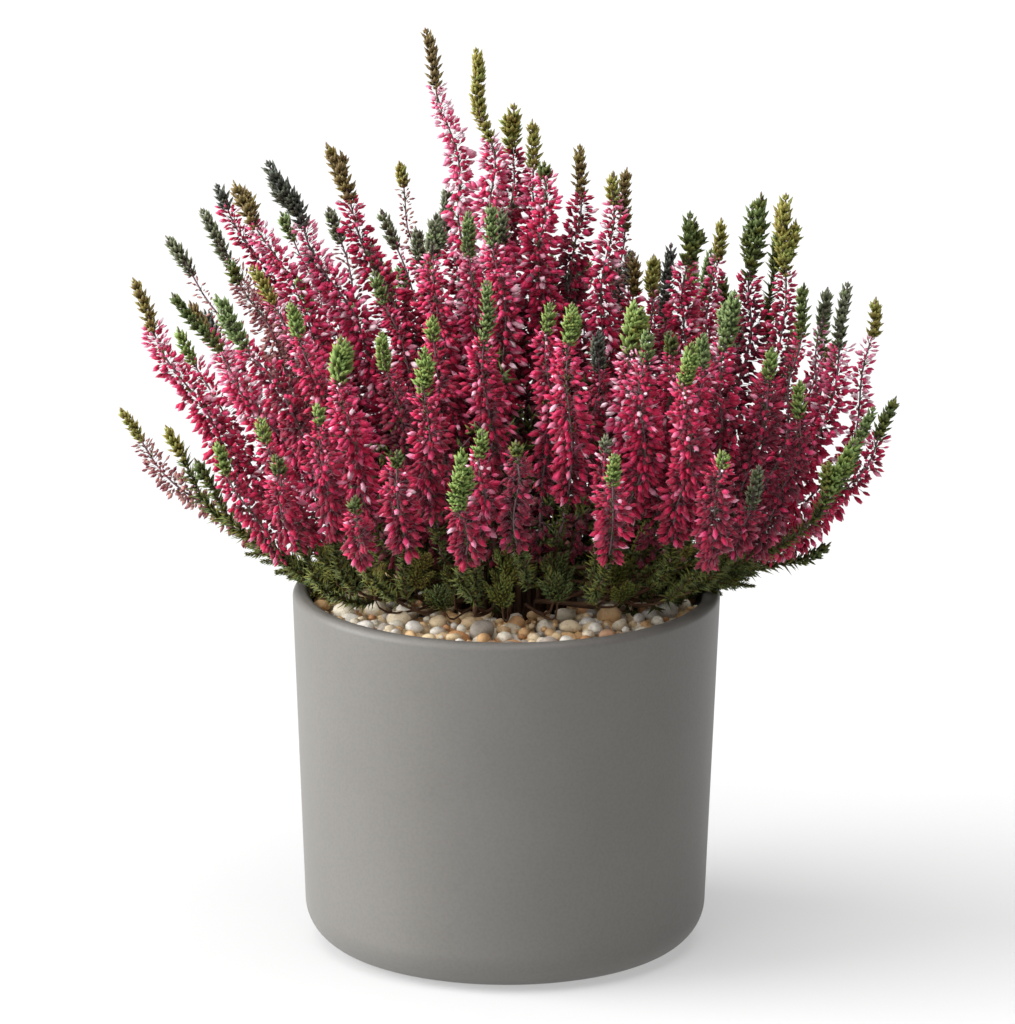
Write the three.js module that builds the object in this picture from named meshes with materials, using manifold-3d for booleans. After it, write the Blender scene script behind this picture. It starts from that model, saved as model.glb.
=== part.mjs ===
// A potted heather (Calluna vulgaris) in bloom: a plain round ceramic pot, compost, a gravel dressing,
// and a bush of upright flowering shoots. Millimetres, +Z up. The origin is the middle of the pot's
// underside.
//
// Every flowering shoot is one tube along a curved centreline: a bare woody stem, then a raceme whose
// bells stand out of a slim core, then a leafy tip of overlapping scale leaves. Shoots that share a
// woody stem are fused into a spray.

import * as THREE from "three";
import { mergeVertices } from "three/addons/utils/BufferGeometryUtils.js";
import Module from "manifold-3d";

const { clamp, degToRad, lerp, smoothstep } = THREE.MathUtils;
const wasm = await Module();
wasm.setup();

// ---- Driving dimensions ----

const POT_TOP_RADIUS = 72.5;
const POT_FOOT_RADIUS = 68.3; // where the wall meets the rounded foot
const POT_HEIGHT = 123;
const POT_WALL = 6;
const POT_FLOOR = 8;
const FOOT_ROUND = 14.5;
const INNER_ROUND = 9; // between the pot's floor and its wall
const LIP_ROUND = 2.4;
const FIT_GAP = 0.3; // between pieces that lie on each other
const LATHE_SIDES = 36;

const COMPOST_TOP = 112;
const GRAVEL_TOP = 118;
const GRAVEL_BUMP = 2.2; // how far a pebble's crown stands over the hollows beside it
const GRAVEL_UNEVEN = 0.8;
const GRAVEL_HIGHEST = GRAVEL_TOP + GRAVEL_UNEVEN;
const PEBBLES_AROUND = 44;
const PEBBLES_ACROSS = 5;
const CROWN = new THREE.Vector2(0, 8); // where the stems leave the compost, a little behind the axis
const CROWN_RADIUS = 21.5;
const GRAVEL_HOLE_RADIUS = 24.5;

const STEM_RADIUS = 1.35;
const STEM_PITCH = 22; // between a bare stem's rings
const STEM_HOLE_DEPTH = 9;
const STEM_HOLE_GAP = 0.35;
const BELL_REACH = { full: 7.0, mid: 6.2, slim: 5.2, sparse: 4.6 }; // from the middle of a raceme
const BELL_LIFT = -0.8; // bells hang
const RACEME_CORE = 0.42; // of the bells' reach
const RACEME_PITCH = 10.4; // between rings of bells, which are larger than life
const LEAF_REACH = 3.3;
const LEAF_LIFT = 2.2; // scale leaves point up the shoot
const LEAF_CORE = 0.5;
const LEAF_PITCH = 6.2;
const FOOT_LEAF = { reach: 7.5, length: 24, pitch: 8.5 }; // on the leafy shoots round the foot
const CORNERS = 4; // of each ring
const RING_TWIST = degToRad(17);
const NODE_GAP = 0.35; // least clear space between two sprays
const RING_SLACK = 0.25; // and what a ring is narrowed by besides

// ---- The sprays ----
// Each shoot: tip x, y, z, length of its leafy tip, habit, the leaves' reach where it isn't
// LEAF_REACH, and the power of its curve where it isn't that of its place in the fan.
// The first shoot of a spray is its main stem, and the others fork from it.

const SPRAYS = {
  spray_left_low: [
    [-126, 2, 230, 18, "full", LEAF_REACH, 0.35],
    [-131, 10, 183, 13, "slim", 2.8, 0.18],
    [-115, -6, 181, 12, "leafy"],
    [-105, -12, 171, 10, "leafy"],
  ],
  spray_left_front: [
    [-97, -30, 232, 21, "full", 3.8],
    [-112, -20, 230, 26, "full"],
    [-97, -26, 181, 12, "mid"],
    [-94, -8, 239, 9, "mid"],
  ],
  spray_left_back: [
    [-104, 28, 248, 19, "slim"],
    [-116, 26, 239, 15, "sparse"],
  ],
  spray_left_tall: [
    [-92, 0, 264, 16, "full", 4],
    [-98, 8, 261, 8, "mid"],
    [-86, -14, 238, 14, "slim"],
  ],
  spray_left_dark: [
    [-81, 4, 270, 25, "full", 4.2],
    [-77, 20, 249, 10, "sparse"],
  ],
  spray_left_inner: [
    [-61, 5, 276, 21, "full", 3.8],
    [-61, 28, 249, 12, "sparse"],
  ],
  spray_left_side: [
    [-72, -40, 232, 12, "full"],
    [-82, -46, 194, 8, "mid"],
  ],
  spray_front_left: [
    [-55, -56, 224, 15, "full", 4.6],
    [-62, -66, 204, 7, "full"],
    [-76, -60, 185, 7, "mid"],
  ],
  spray_front_left_inner: [
    [-42, -40, 222, 14, "full"],
    [-45, -8, 235, 11, "slim"],
    [-31, -2, 249, 12, "mid"],
  ],
  spray_mid_left: [
    [-37, 32, 264, 8, "sparse", 2.8],
    [-43, 20, 250, 13, "sparse"],
    [-21, 42, 253, 14, "mid"],
  ],
  spray_tallest: [
    [-11, 2, 309, 31, "full", LEAF_REACH, 1.6],
    [-28, 10, 314, 20, "mid", LEAF_REACH, 2.4],
  ],
  spray_mid_front: [
    [-6, -18, 261, 14, "full"],
    [-24, -17, 257, 14, "full", 4.2],
    [12, -4, 272, 5, "full"],
    [-13, -14, 257, 16, "mid"],
    [-2, -8, 257, 12, "slim"],
  ],
  spray_mid_olive: [
    [2, 18, 287, 16, "full", 4],
    [8, 11, 283, 16, "mid"],
    [2, 38, 251, 9, "sparse"],
  ],
  spray_right_inner: [
    [24, 8, 275, 17, "full"],
    [21, 30, 228, 13, "slim"],
  ],
  spray_right_mid: [
    [35, -6, 269, 10, "mid"],
    [40, 14, 266, 21, "sparse"],
    [50, 32, 231, 15, "slim"],
    [42, 10, 238, 14, "mid"],
  ],
  spray_right_black: [
    [61, 0, 254, 17, "full", 4.2],
    [55, 14, 240, 25, "slim"],
    [72, 22, 247, 13, "slim"],
  ],
  spray_right_tall: [
    [85, 8, 259, 29, "full", 4],
    [93, 2, 260, 27, "mid", 4],
    [91, 18, 244, 13, "leafy"],
  ],
  spray_right_side: [
    [114, -4, 231, 22, "full"],
    [99, -10, 232, 18, "slim"],
    [108, 14, 225, 12, "sparse"],
    [124, 8, 223, 13, "slim", LEAF_REACH, -0.6],
  ],
  spray_right_low: [
    [123, -16, 191, 34, "mid"],
    [131, -2, 191, 15, "mid"],
    [117, -24, 182, 24, "leafy", 4],
    [110, 2, 139, 12, "slim"],
  ],
  spray_front_mid: [
    [-7, -50, 242, 21, "full"],
    [3, -84, 196, 5, "mid"],
  ],
  spray_front_fresh: [
    [-25, -42, 228, 8, "mid"],
    [-27, -70, 224, 16, "full", 4],
  ],
  spray_front_bold: [
    [21, -66, 238, 14, "full", 3.8],
    [14, -52, 235, 10, "mid"],
  ],
  spray_front_broad: [
    [42, -48, 235, 17, "full", 5],
    [30, -38, 222, 13, "slim"],
    [54, -50, 225, 8, "mid"],
  ],
  spray_front_right: [
    [60, -78, 228, 15, "full", 3.8],
    [46, -64, 229, 11, "full"],
    [71, -84, 193, 6, "full"],
  ],
  spray_front_right_side: [
    [75, -38, 236, 20, "full", 3.8],
    [88, -34, 216, 10, "full"],
    [97, -32, 204, 12, "mid"],
  ],
  spray_front_right_low: [
    [64, -61, 227, 12, "full"],
    [83, -60, 182, 16, "mid"],
  ],
  spray_front_low_left: [
    [-36, -82, 192, 6, "full"],
    [-50, -80, 176, 6, "mid"],
  ],
  spray_front_low_mid: [
    [-15, -94, 196, 24, "full", 4],
    [-8, -80, 199, 10, "mid"],
  ],
  spray_front_low_right: [
    [35, -88, 193, 12, "full"],
    [33, -72, 195, 6, "slim"],
  ],
};

// The far side of the bush: arcs of sprays, each [distance from the axis, number, first azimuth,
// last azimuth].
const BACK_ARCS = [
  [114, 5, 18, 162],
  [80, 4, 30, 150],
  [52, 3, 45, 135],
];
const BACK_HABITS = ["full", "full", "mid"]; // of the shoots in each spray
const BACK_FORK = 15; // how far its side shoots stand from the main one
const BACK_FORK_SWAY = 0.9;
const BACK_RADIUS = 140; // where the far side's dome would come down to FAN_Z
const BACK_CREST = 120; // the dome's height over FAN_Z
const BACK_SLOPE = 0.15; // how much it falls away to the back
const BACK_UNEVEN = 14;
const BACK_LEAF = { least: 9, more: 12 }; // length of the leafy tips

// Short leafy shoots round the foot of the bush: [azimuth, reach from the axis, tip height].
const FOOT_SHOOTS = [
  [266, 52, 138],
  [241, 50, 134],
  [219, 56, 139],
  [200, 66, 142],
  [180, 64, 137],
  [158, 60, 140],
  [130, 56, 138],
  [100, 54, 141],
  [72, 56, 137],
  [44, 60, 140],
  [18, 68, 138],
  [344, 66, 143],
  [312, 58, 135],
  [286, 48, 139],
];
const FOOT_ARM = { turn: 11, reach: 0.8, rise: 5 }; // a leafy shoot's second arm, against its first

// ---- How the bush fans out ----

const FAN_Z = 121; // the outermost stems rise straight to here, then fan out
const FAN_STACK = 18; // the innermost ones rise this much further, and pass over the others
const FAN_REACH = 111; // usual height of a tip over FAN_Z
const FAN_NARROW = 0.17; // how far out a shoot is rooted, as a share of how far out its tip is
// Of a shoot's curve: the less, the sooner it stands upright.
const FAN_POWER = { left: 0.92, middle: 0.4, right: -0.35, low: 0.05, front: -0.4, back: 0.1 };
const FORWARD_POWER = 0.15; // how the front shoots come forward, which is slower than sideways
const FAN_POINTS = 60;
const FORK_AT = 9; // along its main stem, where the first side shoot leaves it
const FORK_STEP = 8; // and how much further the next one does
const FORK_BEND = 24; // length over which a side shoot bends to its own place in the fan
const BUSH_RADIUS = 120;
// Under the lowest bells, what a front shoot has besides, and the share of an inner shoot.
const BARE_STEM = { least: 13, front: 12, inside: 0.42 };

const LINKS = 22; // of the chain that each centreline is while the shoots settle
const SETTLE_ROUNDS = 60;
const SETTLE_RATE = 0.25;
const SETTLE_REACH = 24; // shoots further apart than this at first never touch
const SETTLE_TIP = 0.12; // share of a chain, at its tip, over which it becomes free to move
const STEM_ROOM = 2.4; // round a bare stem
const RIM_CLEAR_Z = POT_HEIGHT + 4; // below this the shoots stay inside the pot
const RIM_CLEAR_RADIUS = 58;

// The same draw each time: a linear congruential generator, exact in doubles.
function randomFrom(seed) {
  let state = seed;
  return () => {
    state = (state * 1664525 + 1013904223) % 4294967296;
    return state / 4294967296;
  };
}

// The shoots on the left lean out; those on the right, in front and at the back arch out low and
// then stand upright, and so do the lowest ones on both sides.
function fanPower(tip) {
  const { left, middle, right, low, front, back } = FAN_POWER;
  const lean = lerp(left, middle, smoothstep(tip.x, -70, 10));
  const upright = lerp(lean, right, smoothstep(tip.x, 0, 60));
  const sideways = lerp(upright, low, smoothstep(Math.abs(tip.x) / (tip.z - FAN_Z), 0.9, 1.5));
  const behind = lerp(sideways, Math.min(back, sideways), smoothstep(tip.y, 20, 90));
  return lerp(behind, front, smoothstep(-tip.y, 15, 70));
}

// Where the stem of a shoot with this tip leaves the compost. Neighbouring tips have neighbouring roots.
function rootOf(tip) {
  const away = new THREE.Vector2(tip.x, tip.y).sub(CROWN);
  const slope = away.length() / Math.sqrt((tip.z - FAN_Z) / FAN_REACH);
  return away.setLength(Math.min(FAN_NARROW * slope, CROWN_RADIUS)).add(CROWN);
}

// The shoot's own curve from its root up to its tip, before its neighbours push it.
function fanCurve(tip, power = fanPower(tip)) {
  const root = rootOf(tip);
  const start = FAN_Z + FAN_STACK * (1 - root.distanceTo(CROWN) / CROWN_RADIUS);
  const top = tip.z - start;
  const forward = lerp(power, Math.max(power, FORWARD_POWER), smoothstep(-tip.y, 15, 60));
  const outward = (height, p) => ((height + 1) ** p - 1) / ((top + 1) ** p - 1);
  const points = [];
  for (let i = 0; i <= FAN_POINTS; i++) {
    const height = top * (i / FAN_POINTS) ** 2;
    points.push(
      new THREE.Vector3(
        lerp(root.x, tip.x, outward(height, power)),
        lerp(root.y, tip.y, outward(height, forward)),
        start + height,
      ),
    );
  }
  return points;
}

// A polyline read by the distance from its tip.
class Path {
  constructor(points) {
    this.points = points.slice().reverse();
    this.at = [0];
    for (let i = 1; i < this.points.length; i++)
      this.at.push(this.at[i - 1] + this.points[i].distanceTo(this.points[i - 1]));
    this.length = this.at[this.at.length - 1];
  }
  point(distance) {
    const d = clamp(distance, 0, this.length);
    let i = 1;
    while (i < this.at.length - 1 && this.at[i] < d) i++;
    const share = (d - this.at[i - 1]) / (this.at[i] - this.at[i - 1]);
    return this.points[i - 1].clone().lerp(this.points[i], share);
  }
  tangent(distance, step = 1.5) {
    return this.point(distance - step).sub(this.point(distance + step)).normalize();
  }
  // The distance from the tip of the place nearest to a point.
  nearest(point, step = 0.5) {
    let best = 0;
    for (let d = 0; d <= this.length; d += step)
      if (this.point(d).distanceTo(point) < this.point(best).distanceTo(point)) best = d;
    return best;
  }
  // Without its first stretch, and in equal steps, from the tip down.
  links(skipped) {
    const kept = this.length - skipped;
    return Array.from({ length: LINKS + 1 }, (_, i) => this.point((kept * i) / LINKS));
  }
}

// How far from the tip the lowest bells stand: near the foot on the outer shoots, higher up inside
// the bush.
function bloomLength({ path, leafLength, habit, tip }) {
  if (!(habit in BELL_REACH)) return leafLength;
  const inside = 1 - Math.min(Math.hypot(tip.x, tip.y) / BUSH_RADIUS, 1);
  const least = BARE_STEM.least + BARE_STEM.front * smoothstep(-tip.y, 20, 80);
  const bareTop = lerp(FAN_Z, tip.z, BARE_STEM.inside * inside) + least;
  let d = path.length;
  while (d > leafLength && path.point(d).z < bareTop) d -= 1;
  return d;
}

// How much of their full reach bells and leaves have, from the lowest (share 0) to the topmost (1).
const racemeTaper = (share) => Math.min(1, 0.62 + 1.6 * share, 1.9 - 1.25 * share);
const leafTaper = (share) => Math.min(1, 0.8 + share, 1.35 - 0.75 * share);

// How far bells or leaves stand out at a distance from the tip.
function reachAt({ leafLength, bloom, habit, leafReach }, d) {
  if (d <= leafLength) return leafReach * leafTaper(1 - d / leafLength);
  if (d > bloom) return STEM_RADIUS;
  return BELL_REACH[habit] * racemeTaper((bloom - d) / (bloom - leafLength));
}

// The rings of a shoot from its root to its tip: distance from the tip, reach of its high and low
// corners, and lift.
function shootRings(shoot) {
  const { path, leafLength, bloom, main, sides, links } = shoot;
  const rings = [];
  const stem = (d, radius) => rings.push({ d, high: radius, low: radius, lift: 0 });
  const stemEnd = bloom + 3;
  let stemStart = path.length;
  if (main) stem(stemStart, 0.7 * STEM_RADIUS); // inside the main stem
  else {
    stem(stemStart, STEM_RADIUS);
    stemStart -= links[LINKS].place.z - COMPOST_TOP + STEM_HOLE_DEPTH;
    stem(stemStart, STEM_RADIUS);
  }
  const forks = sides.map((side) => path.nearest(side.path.point(side.path.length)));
  const stops = [stemStart, ...forks.filter((d) => d > stemEnd + 1).sort((a, b) => b - a), stemEnd];
  for (let k = 1; k < stops.length; k++) {
    const steps = Math.max(1, Math.round((stops[k - 1] - stops[k]) / STEM_PITCH));
    for (let i = 1; i <= steps; i++) stem(lerp(stops[k - 1], stops[k], i / steps), STEM_RADIUS);
  }
  const relief = (from, to, pitch, core, lift) => {
    const count = Math.max(2, Math.round((from - to) / pitch));
    for (let i = 0; i < count; i++) {
      const d = lerp(from, to, i / count);
      const high = reachAt(shoot, d);
      rings.push({ d, high, low: core * high, lift });
    }
  };
  if (bloom > leafLength) relief(bloom, leafLength, RACEME_PITCH, RACEME_CORE, BELL_LIFT);
  relief(leafLength, 0, shoot.habit === "foot" ? FOOT_LEAF.pitch : LEAF_PITCH, LEAF_CORE, LEAF_LIFT);
  return rings;
}

// A closed tube of four-cornered rings. Every second corner is high, in turn from ring to ring, so
// each high corner is the point of a four-sided pyramid: a bell or a scale leaf.
function tube({ path, rings, turn }) {
  const positions = [];
  const side = new THREE.Vector3(1, 0, 0);
  rings.forEach((ring, j) => {
    const centre = path.point(ring.d);
    const along = path.tangent(ring.d);
    side.addScaledVector(along, -side.dot(along)).normalize();
    const other = new THREE.Vector3().crossVectors(along, side);
    for (let k = 0; k < CORNERS; k++) {
      const angle = (2 * Math.PI * k) / CORNERS + turn + RING_TWIST * j;
      const high = (j + k) % 2 === 0;
      const reach = high ? ring.high : ring.low;
      const p = centre
        .clone()
        .addScaledVector(side, reach * Math.cos(angle))
        .addScaledVector(other, reach * Math.sin(angle))
        .addScaledVector(along, high ? ring.lift : 0);
      positions.push(p.x, p.y, p.z);
    }
  });
  const apex = path.point(0);
  positions.push(apex.x, apex.y, apex.z);
  const index = [0, 2, 1, 0, 3, 2];
  for (let j = 0; j + 1 < rings.length; j++) addBand(index, j, j + 1, CORNERS, j % 2 === 0);
  const last = (rings.length - 1) * CORNERS;
  for (let k = 0; k < CORNERS; k++)
    index.push(last + k, last + ((k + 1) % CORNERS), rings.length * CORNERS);
  return indexedGeometry(positions, index);
}

// The band between two closed rings of vertices. Its quads are halved so that every second vertex
// is a ridge point.
function addBand(index, lower, upper, count, startsHigh) {
  for (let k = 0; k < count; k++) {
    const next = (k + 1) % count;
    const [a, b] = [lower * count + k, lower * count + next];
    const [c, d] = [upper * count + next, upper * count + k];
    if ((k % 2 === 0) === startsHigh) index.push(a, b, d, b, c, d);
    else index.push(a, b, c, a, c, d);
  }
}

function indexedGeometry(positions, index) {
  return new THREE.BufferGeometry()
    .setAttribute("position", new THREE.Float32BufferAttribute(positions, 3))
    .setIndex(index);
}

// ---- Booleans ----

function solidFrom(geometry) {
  const bare = geometry.clone();
  bare.deleteAttribute("normal");
  bare.deleteAttribute("uv");
  const merged = mergeVertices(bare, 1e-4);
  return new wasm.Manifold(
    new wasm.Mesh({
      numProp: 3,
      vertProperties: new Float32Array(merged.attributes.position.array),
      triVerts: new Uint32Array(merged.index.array),
    }),
  );
}

function geometryFrom(solid) {
  const mesh = solid.getMesh();
  return new THREE.BufferGeometry()
    .setAttribute("position", new THREE.BufferAttribute(mesh.vertProperties, 3))
    .setIndex(new THREE.BufferAttribute(mesh.triVerts, 1));
}

const largestBody = (solid) =>
  solid.decompose().reduce((a, b) => (a.volume() > b.volume() ? a : b));

// ---- The shoots, gathered ----

function newShoot(spray, row, main, fork) {
  const [x, y, z, leafLength, habit, leafReach = LEAF_REACH, power] = row;
  const tip = new THREE.Vector3(x, y, z);
  const path = new Path(new Path(fanCurve(tip, power)).links(fork).reverse());
  const shoot = { spray, tip, main, fork, path, leafLength, habit, leafReach, sides: [] };
  shoot.bloom = bloomLength(shoot);
  if (main) main.sides.push(shoot);
  return shoot;
}

const numbered = (name, i) => `${name}_${String(i + 1).padStart(2, "0")}`;

function backSprays() {
  const random = randomFrom(7);
  const sprays = [];
  for (const [distance, count, first, last] of BACK_ARCS)
    for (let i = 0; i < count; i++) {
      const azimuth = degToRad(lerp(first, last, i / (count - 1)));
      sprays.push(
        BACK_HABITS.map((habit, k) => {
          const fork = azimuth + Math.PI * (k === 1 ? 0.5 : -0.5) + BACK_FORK_SWAY * (random() - 0.5);
          const offset = k ? BACK_FORK : 0;
          const x = distance * Math.cos(azimuth) + offset * Math.cos(fork);
          const y = distance * Math.sin(azimuth) + offset * Math.sin(fork);
          const dome = BACK_CREST * Math.cbrt(1 - (Math.hypot(x, y) / BACK_RADIUS) ** 3);
          const z = FAN_Z + dome - BACK_SLOPE * y + BACK_UNEVEN * (random() - 0.5);
          return [x, y, z, BACK_LEAF.least + BACK_LEAF.more * random(), habit];
        }),
      );
    }
  return Object.fromEntries(sprays.map((rows, i) => [numbered("spray_back", i), rows]));
}

function footSprays() {
  const sprays = FOOT_SHOOTS.map(([azimuth, reach, height]) => {
    const arm = (degrees, r, z) => {
      const a = degToRad(degrees);
      return [r * Math.cos(a), r * Math.sin(a), z, FOOT_LEAF.length, "foot", FOOT_LEAF.reach];
    };
    const second = arm(azimuth + FOOT_ARM.turn, reach * FOOT_ARM.reach, height + FOOT_ARM.rise);
    return [arm(azimuth, reach, height), second];
  });
  return Object.fromEntries(sprays.map((rows, i) => [numbered("leafy_shoot", i), rows]));
}

function gatherShoots() {
  const shoots = [];
  const sprays = { ...SPRAYS, ...backSprays(), ...footSprays() };
  for (const [name, [main, ...sides]] of Object.entries(sprays)) {
    const first = newShoot(name, main, null, 0);
    shoots.push(first);
    sides.forEach((row, i) => shoots.push(newShoot(name, row, first, FORK_AT + i * FORK_STEP)));
  }
  return shoots;
}

// Neighbouring shoots push each other aside until their bells and leaves have room. Tips stay
// where they are.
function settle(shoots) {
  for (const shoot of shoots) {
    const { path, bloom, main, fork } = shoot;
    shoot.links = path.points.map((base, i) => {
      const along = path.length - path.at[i];
      return {
        shoot,
        base,
        place: base.clone(),
        push: new THREE.Vector3(),
        offset: new THREE.Vector3(),
        room: path.at[i] > bloom ? STEM_ROOM : reachAt(shoot, path.at[i]),
        freedom: Math.min(i / LINKS / SETTLE_TIP, 1),
        root: main === null && i === LINKS,
        parting: main ? smoothstep(along, 0, FORK_BEND) : 1,
        beside: main ? LINKS * (1 - (fork + along) / main.path.length) : 0,
      };
    });
  }
  const links = shoots.flatMap((shoot) => shoot.links);
  const pairs = [];
  links.forEach((a, i) => {
    for (const b of links.slice(i + 1)) {
      if (a.shoot === b.shoot) continue;
      if (a.shoot.spray === b.shoot.spray && Math.min(a.parting, b.parting) < 1) continue;
      if (a.base.distanceTo(b.base) < SETTLE_REACH) pairs.push([a, b]);
    }
  });
  for (let round = 0; round < SETTLE_ROUNDS; round++) {
    for (const [a, b] of pairs) {
      const away = a.place.clone().sub(b.place);
      const short = a.room + b.room + NODE_GAP - away.length();
      if (short <= 0) continue;
      away.setLength(SETTLE_RATE * short);
      a.push.add(away);
      b.push.sub(away);
    }
    for (const shoot of shoots) {
      const moved = shoot.links.map((link) => link.offset.clone().add(link.push));
      shoot.links.forEach((link, i) => {
        const before = moved[Math.max(i - 1, 0)];
        const after = moved[Math.min(i + 1, LINKS)];
        link.offset.copy(moved[i]).multiplyScalar(2).add(before).add(after).divideScalar(4);
        link.push.set(0, 0, 0);
        link.place.copy(link.base).addScaledVector(link.offset, link.freedom);
        keepInPot(link);
        if (link.parting < 1) link.place.lerp(placeBeside(shoot.main, link.beside), 1 - link.parting);
      });
    }
  }
  for (const shoot of shoots) shoot.path = new Path(settledPoints(shoot));
}

// Low down the stems stay inside the rim and over the gravel, and their roots inside the gravel's
// bare middle.
function keepInPot(link) {
  const { place, base, offset, root } = link;
  if (place.z > RIM_CLEAR_Z) return;
  const centre = root ? CROWN : new THREE.Vector2();
  const most = root ? CROWN_RADIUS : RIM_CLEAR_RADIUS;
  const flat = new THREE.Vector2(place.x, place.y).sub(centre).clampLength(0, most).add(centre);
  place.set(flat.x, flat.y, root ? base.z : Math.max(place.z, FAN_Z));
  offset.copy(place).sub(base);
}

// The settled place of a main stem at a fractional link.
function placeBeside({ links }, beside) {
  const i = Math.floor(beside);
  return links[i].place.clone().lerp(links[i + 1].place, beside - i);
}

// From root to tip, with the buried end of a main stem.
function settledPoints({ links, main }) {
  const points = links.map((link) => link.place.clone()).reverse();
  if (main) return points;
  const root = points[0].clone();
  root.z = COMPOST_TOP - STEM_HOLE_DEPTH;
  return [root, ...points];
}

// Narrows each ring so that it keeps clear of every other spray: two neighbours share the space
// between them.
function keepClear(shoots) {
  const rings = shoots.flatMap((shoot) =>
    shoot.rings.map((ring) => ({ shoot, ring, point: shoot.path.point(ring.d), reach: ring.high })),
  );
  const surroundings = [];
  for (const shoot of shoots)
    shoot.rings.forEach((ring, j) => {
      const next = shoot.rings[j + 1] || { d: 0, high: 0.5 };
      const [from, to] = [shoot.path.point(ring.d), shoot.path.point(next.d)];
      for (const share of [0, 0.25, 0.5, 0.75])
        surroundings.push({
          shoot,
          point: from.clone().lerp(to, share),
          reach: lerp(ring.high, next.high, share),
        });
    });
  for (const { shoot, ring, point, reach } of rings) {
    for (const other of surroundings) {
      if (shoot.spray === other.shoot.spray) continue;
      const share = reach / (reach + other.reach);
      const room = (point.distanceTo(other.point) - NODE_GAP) * share - RING_SLACK;
      if (room < ring.high) ring.high = Math.max(room, 0.75 * STEM_RADIUS);
    }
    const below = Math.hypot(point.x, point.y) > RIM_CLEAR_RADIUS ? POT_HEIGHT : GRAVEL_HIGHEST;
    const height = point.z - below - NODE_GAP;
    if (height > -NODE_GAP) ring.high = Math.min(ring.high, Math.max(height, 0.75 * STEM_RADIUS));
    ring.low = Math.min(ring.low, ring.high);
  }
}

// ---- Pieces ----

function lathe(outline) {
  const points = outline.map(([r, z]) => new THREE.Vector2(r, z));
  return new THREE.LatheGeometry(points, LATHE_SIDES).rotateX(Math.PI / 2);
}

function arc(cx, cz, radius, from, to, steps) {
  const points = [];
  for (let i = 0; i <= steps; i++) {
    const a = degToRad(from + ((to - from) * i) / steps);
    points.push([cx + radius * Math.cos(a), cz + radius * Math.sin(a)]);
  }
  return points;
}

const wallLean = (POT_TOP_RADIUS - POT_FOOT_RADIUS) / (POT_HEIGHT - FOOT_ROUND);
const outerRadiusAt = (z) => POT_FOOT_RADIUS + wallLean * (z - FOOT_ROUND);
const innerRadiusAt = (z) => outerRadiusAt(z) - POT_WALL;

function potGeometry() {
  const lipZ = POT_HEIGHT - LIP_ROUND;
  const innerZ = POT_FLOOR + INNER_ROUND;
  return lathe([
    [0, 0],
    ...arc(POT_FOOT_RADIUS - FOOT_ROUND, FOOT_ROUND, FOOT_ROUND, -90, 0, 4),
    ...arc(outerRadiusAt(lipZ) - LIP_ROUND, lipZ, LIP_ROUND, 0, 90, 2),
    ...arc(innerRadiusAt(lipZ) + LIP_ROUND, lipZ, LIP_ROUND, 90, 180, 2),
    ...arc(innerRadiusAt(innerZ) - INNER_ROUND, innerZ, INNER_ROUND, 0, -90, 2),
    [0, POT_FLOOR],
  ]);
}

// The compost fills the pot up to the gravel, with a plain hole for each stem.
function compostGeometry(shoots) {
  const bottom = POT_FLOOR + FIT_GAP;
  const roundTop = POT_FLOOR + INNER_ROUND;
  let body = solidFrom(
    lathe([
      [0, bottom],
      [innerRadiusAt(roundTop) - INNER_ROUND - FIT_GAP, bottom],
      [innerRadiusAt(roundTop) - 5 * FIT_GAP, roundTop],
      [innerRadiusAt(COMPOST_TOP) - FIT_GAP, COMPOST_TOP],
      [0, COMPOST_TOP],
    ]),
  );
  for (const shoot of shoots.filter((s) => !s.main)) {
    const root = shoot.path.points[shoot.path.points.length - 1];
    const radius = STEM_RADIUS + STEM_HOLE_GAP * Math.SQRT2;
    const depth = STEM_HOLE_DEPTH + STEM_HOLE_GAP;
    const hole = new THREE.CylinderGeometry(radius, radius, 2 * depth, CORNERS)
      .rotateX(Math.PI / 2)
      .rotateZ(shoot.turn + Math.PI / 2)
      .translate(root.x, root.y, COMPOST_TOP);
    body = body.subtract(solidFrom(hole));
  }
  return geometryFrom(body);
}

// The gravel lies round the foot of the bush: a ring whose top is raised into pebbles.
function gravelGeometry() {
  const random = randomFrom(3);
  const bottom = COMPOST_TOP + FIT_GAP;
  const positions = [];
  const index = [];
  for (let i = 0; i < PEBBLES_AROUND; i++) {
    const a = (2 * Math.PI * i) / PEBBLES_AROUND;
    const outwards = new THREE.Vector2(Math.cos(a), Math.sin(a));
    const inner = outwards.clone().multiplyScalar(GRAVEL_HOLE_RADIUS).add(CROWN);
    const outer = outwards.clone().multiplyScalar(innerRadiusAt(GRAVEL_TOP) - 2 * FIT_GAP);
    for (let j = 0; j <= PEBBLES_ACROSS; j++) {
      const p = inner.clone().lerp(outer, j / PEBBLES_ACROSS);
      const hollow = (i + j) % 2 ? GRAVEL_BUMP : 0;
      positions.push(p.x, p.y, GRAVEL_TOP - hollow + GRAVEL_UNEVEN * random());
    }
    const foot = outwards.clone().multiplyScalar(innerRadiusAt(bottom) - 2 * FIT_GAP);
    positions.push(foot.x, foot.y, bottom, inner.x, inner.y, bottom);
    addBand(index, i, (i + 1) % PEBBLES_AROUND, PEBBLES_ACROSS + 3, i % 2 === 0);
  }
  return indexedGeometry(positions, index);
}

// ---- The part ----

const CERAMIC = new THREE.MeshStandardMaterial({ color: 0x85827d, roughness: 0.55 });
const COMPOST = new THREE.MeshStandardMaterial({ color: 0x2c211a, roughness: 1 });
const GRAVEL = new THREE.MeshStandardMaterial({ color: 0xb79f80, roughness: 0.8 });
const BLOOM = new THREE.MeshStandardMaterial({ color: 0xb02a50, roughness: 0.6 });
const LEAF = new THREE.MeshStandardMaterial({ color: 0x4a5a26, roughness: 0.65 });

const TURN_BETWEEN_SHOOTS = 2.4;

const part = new THREE.Group();

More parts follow.
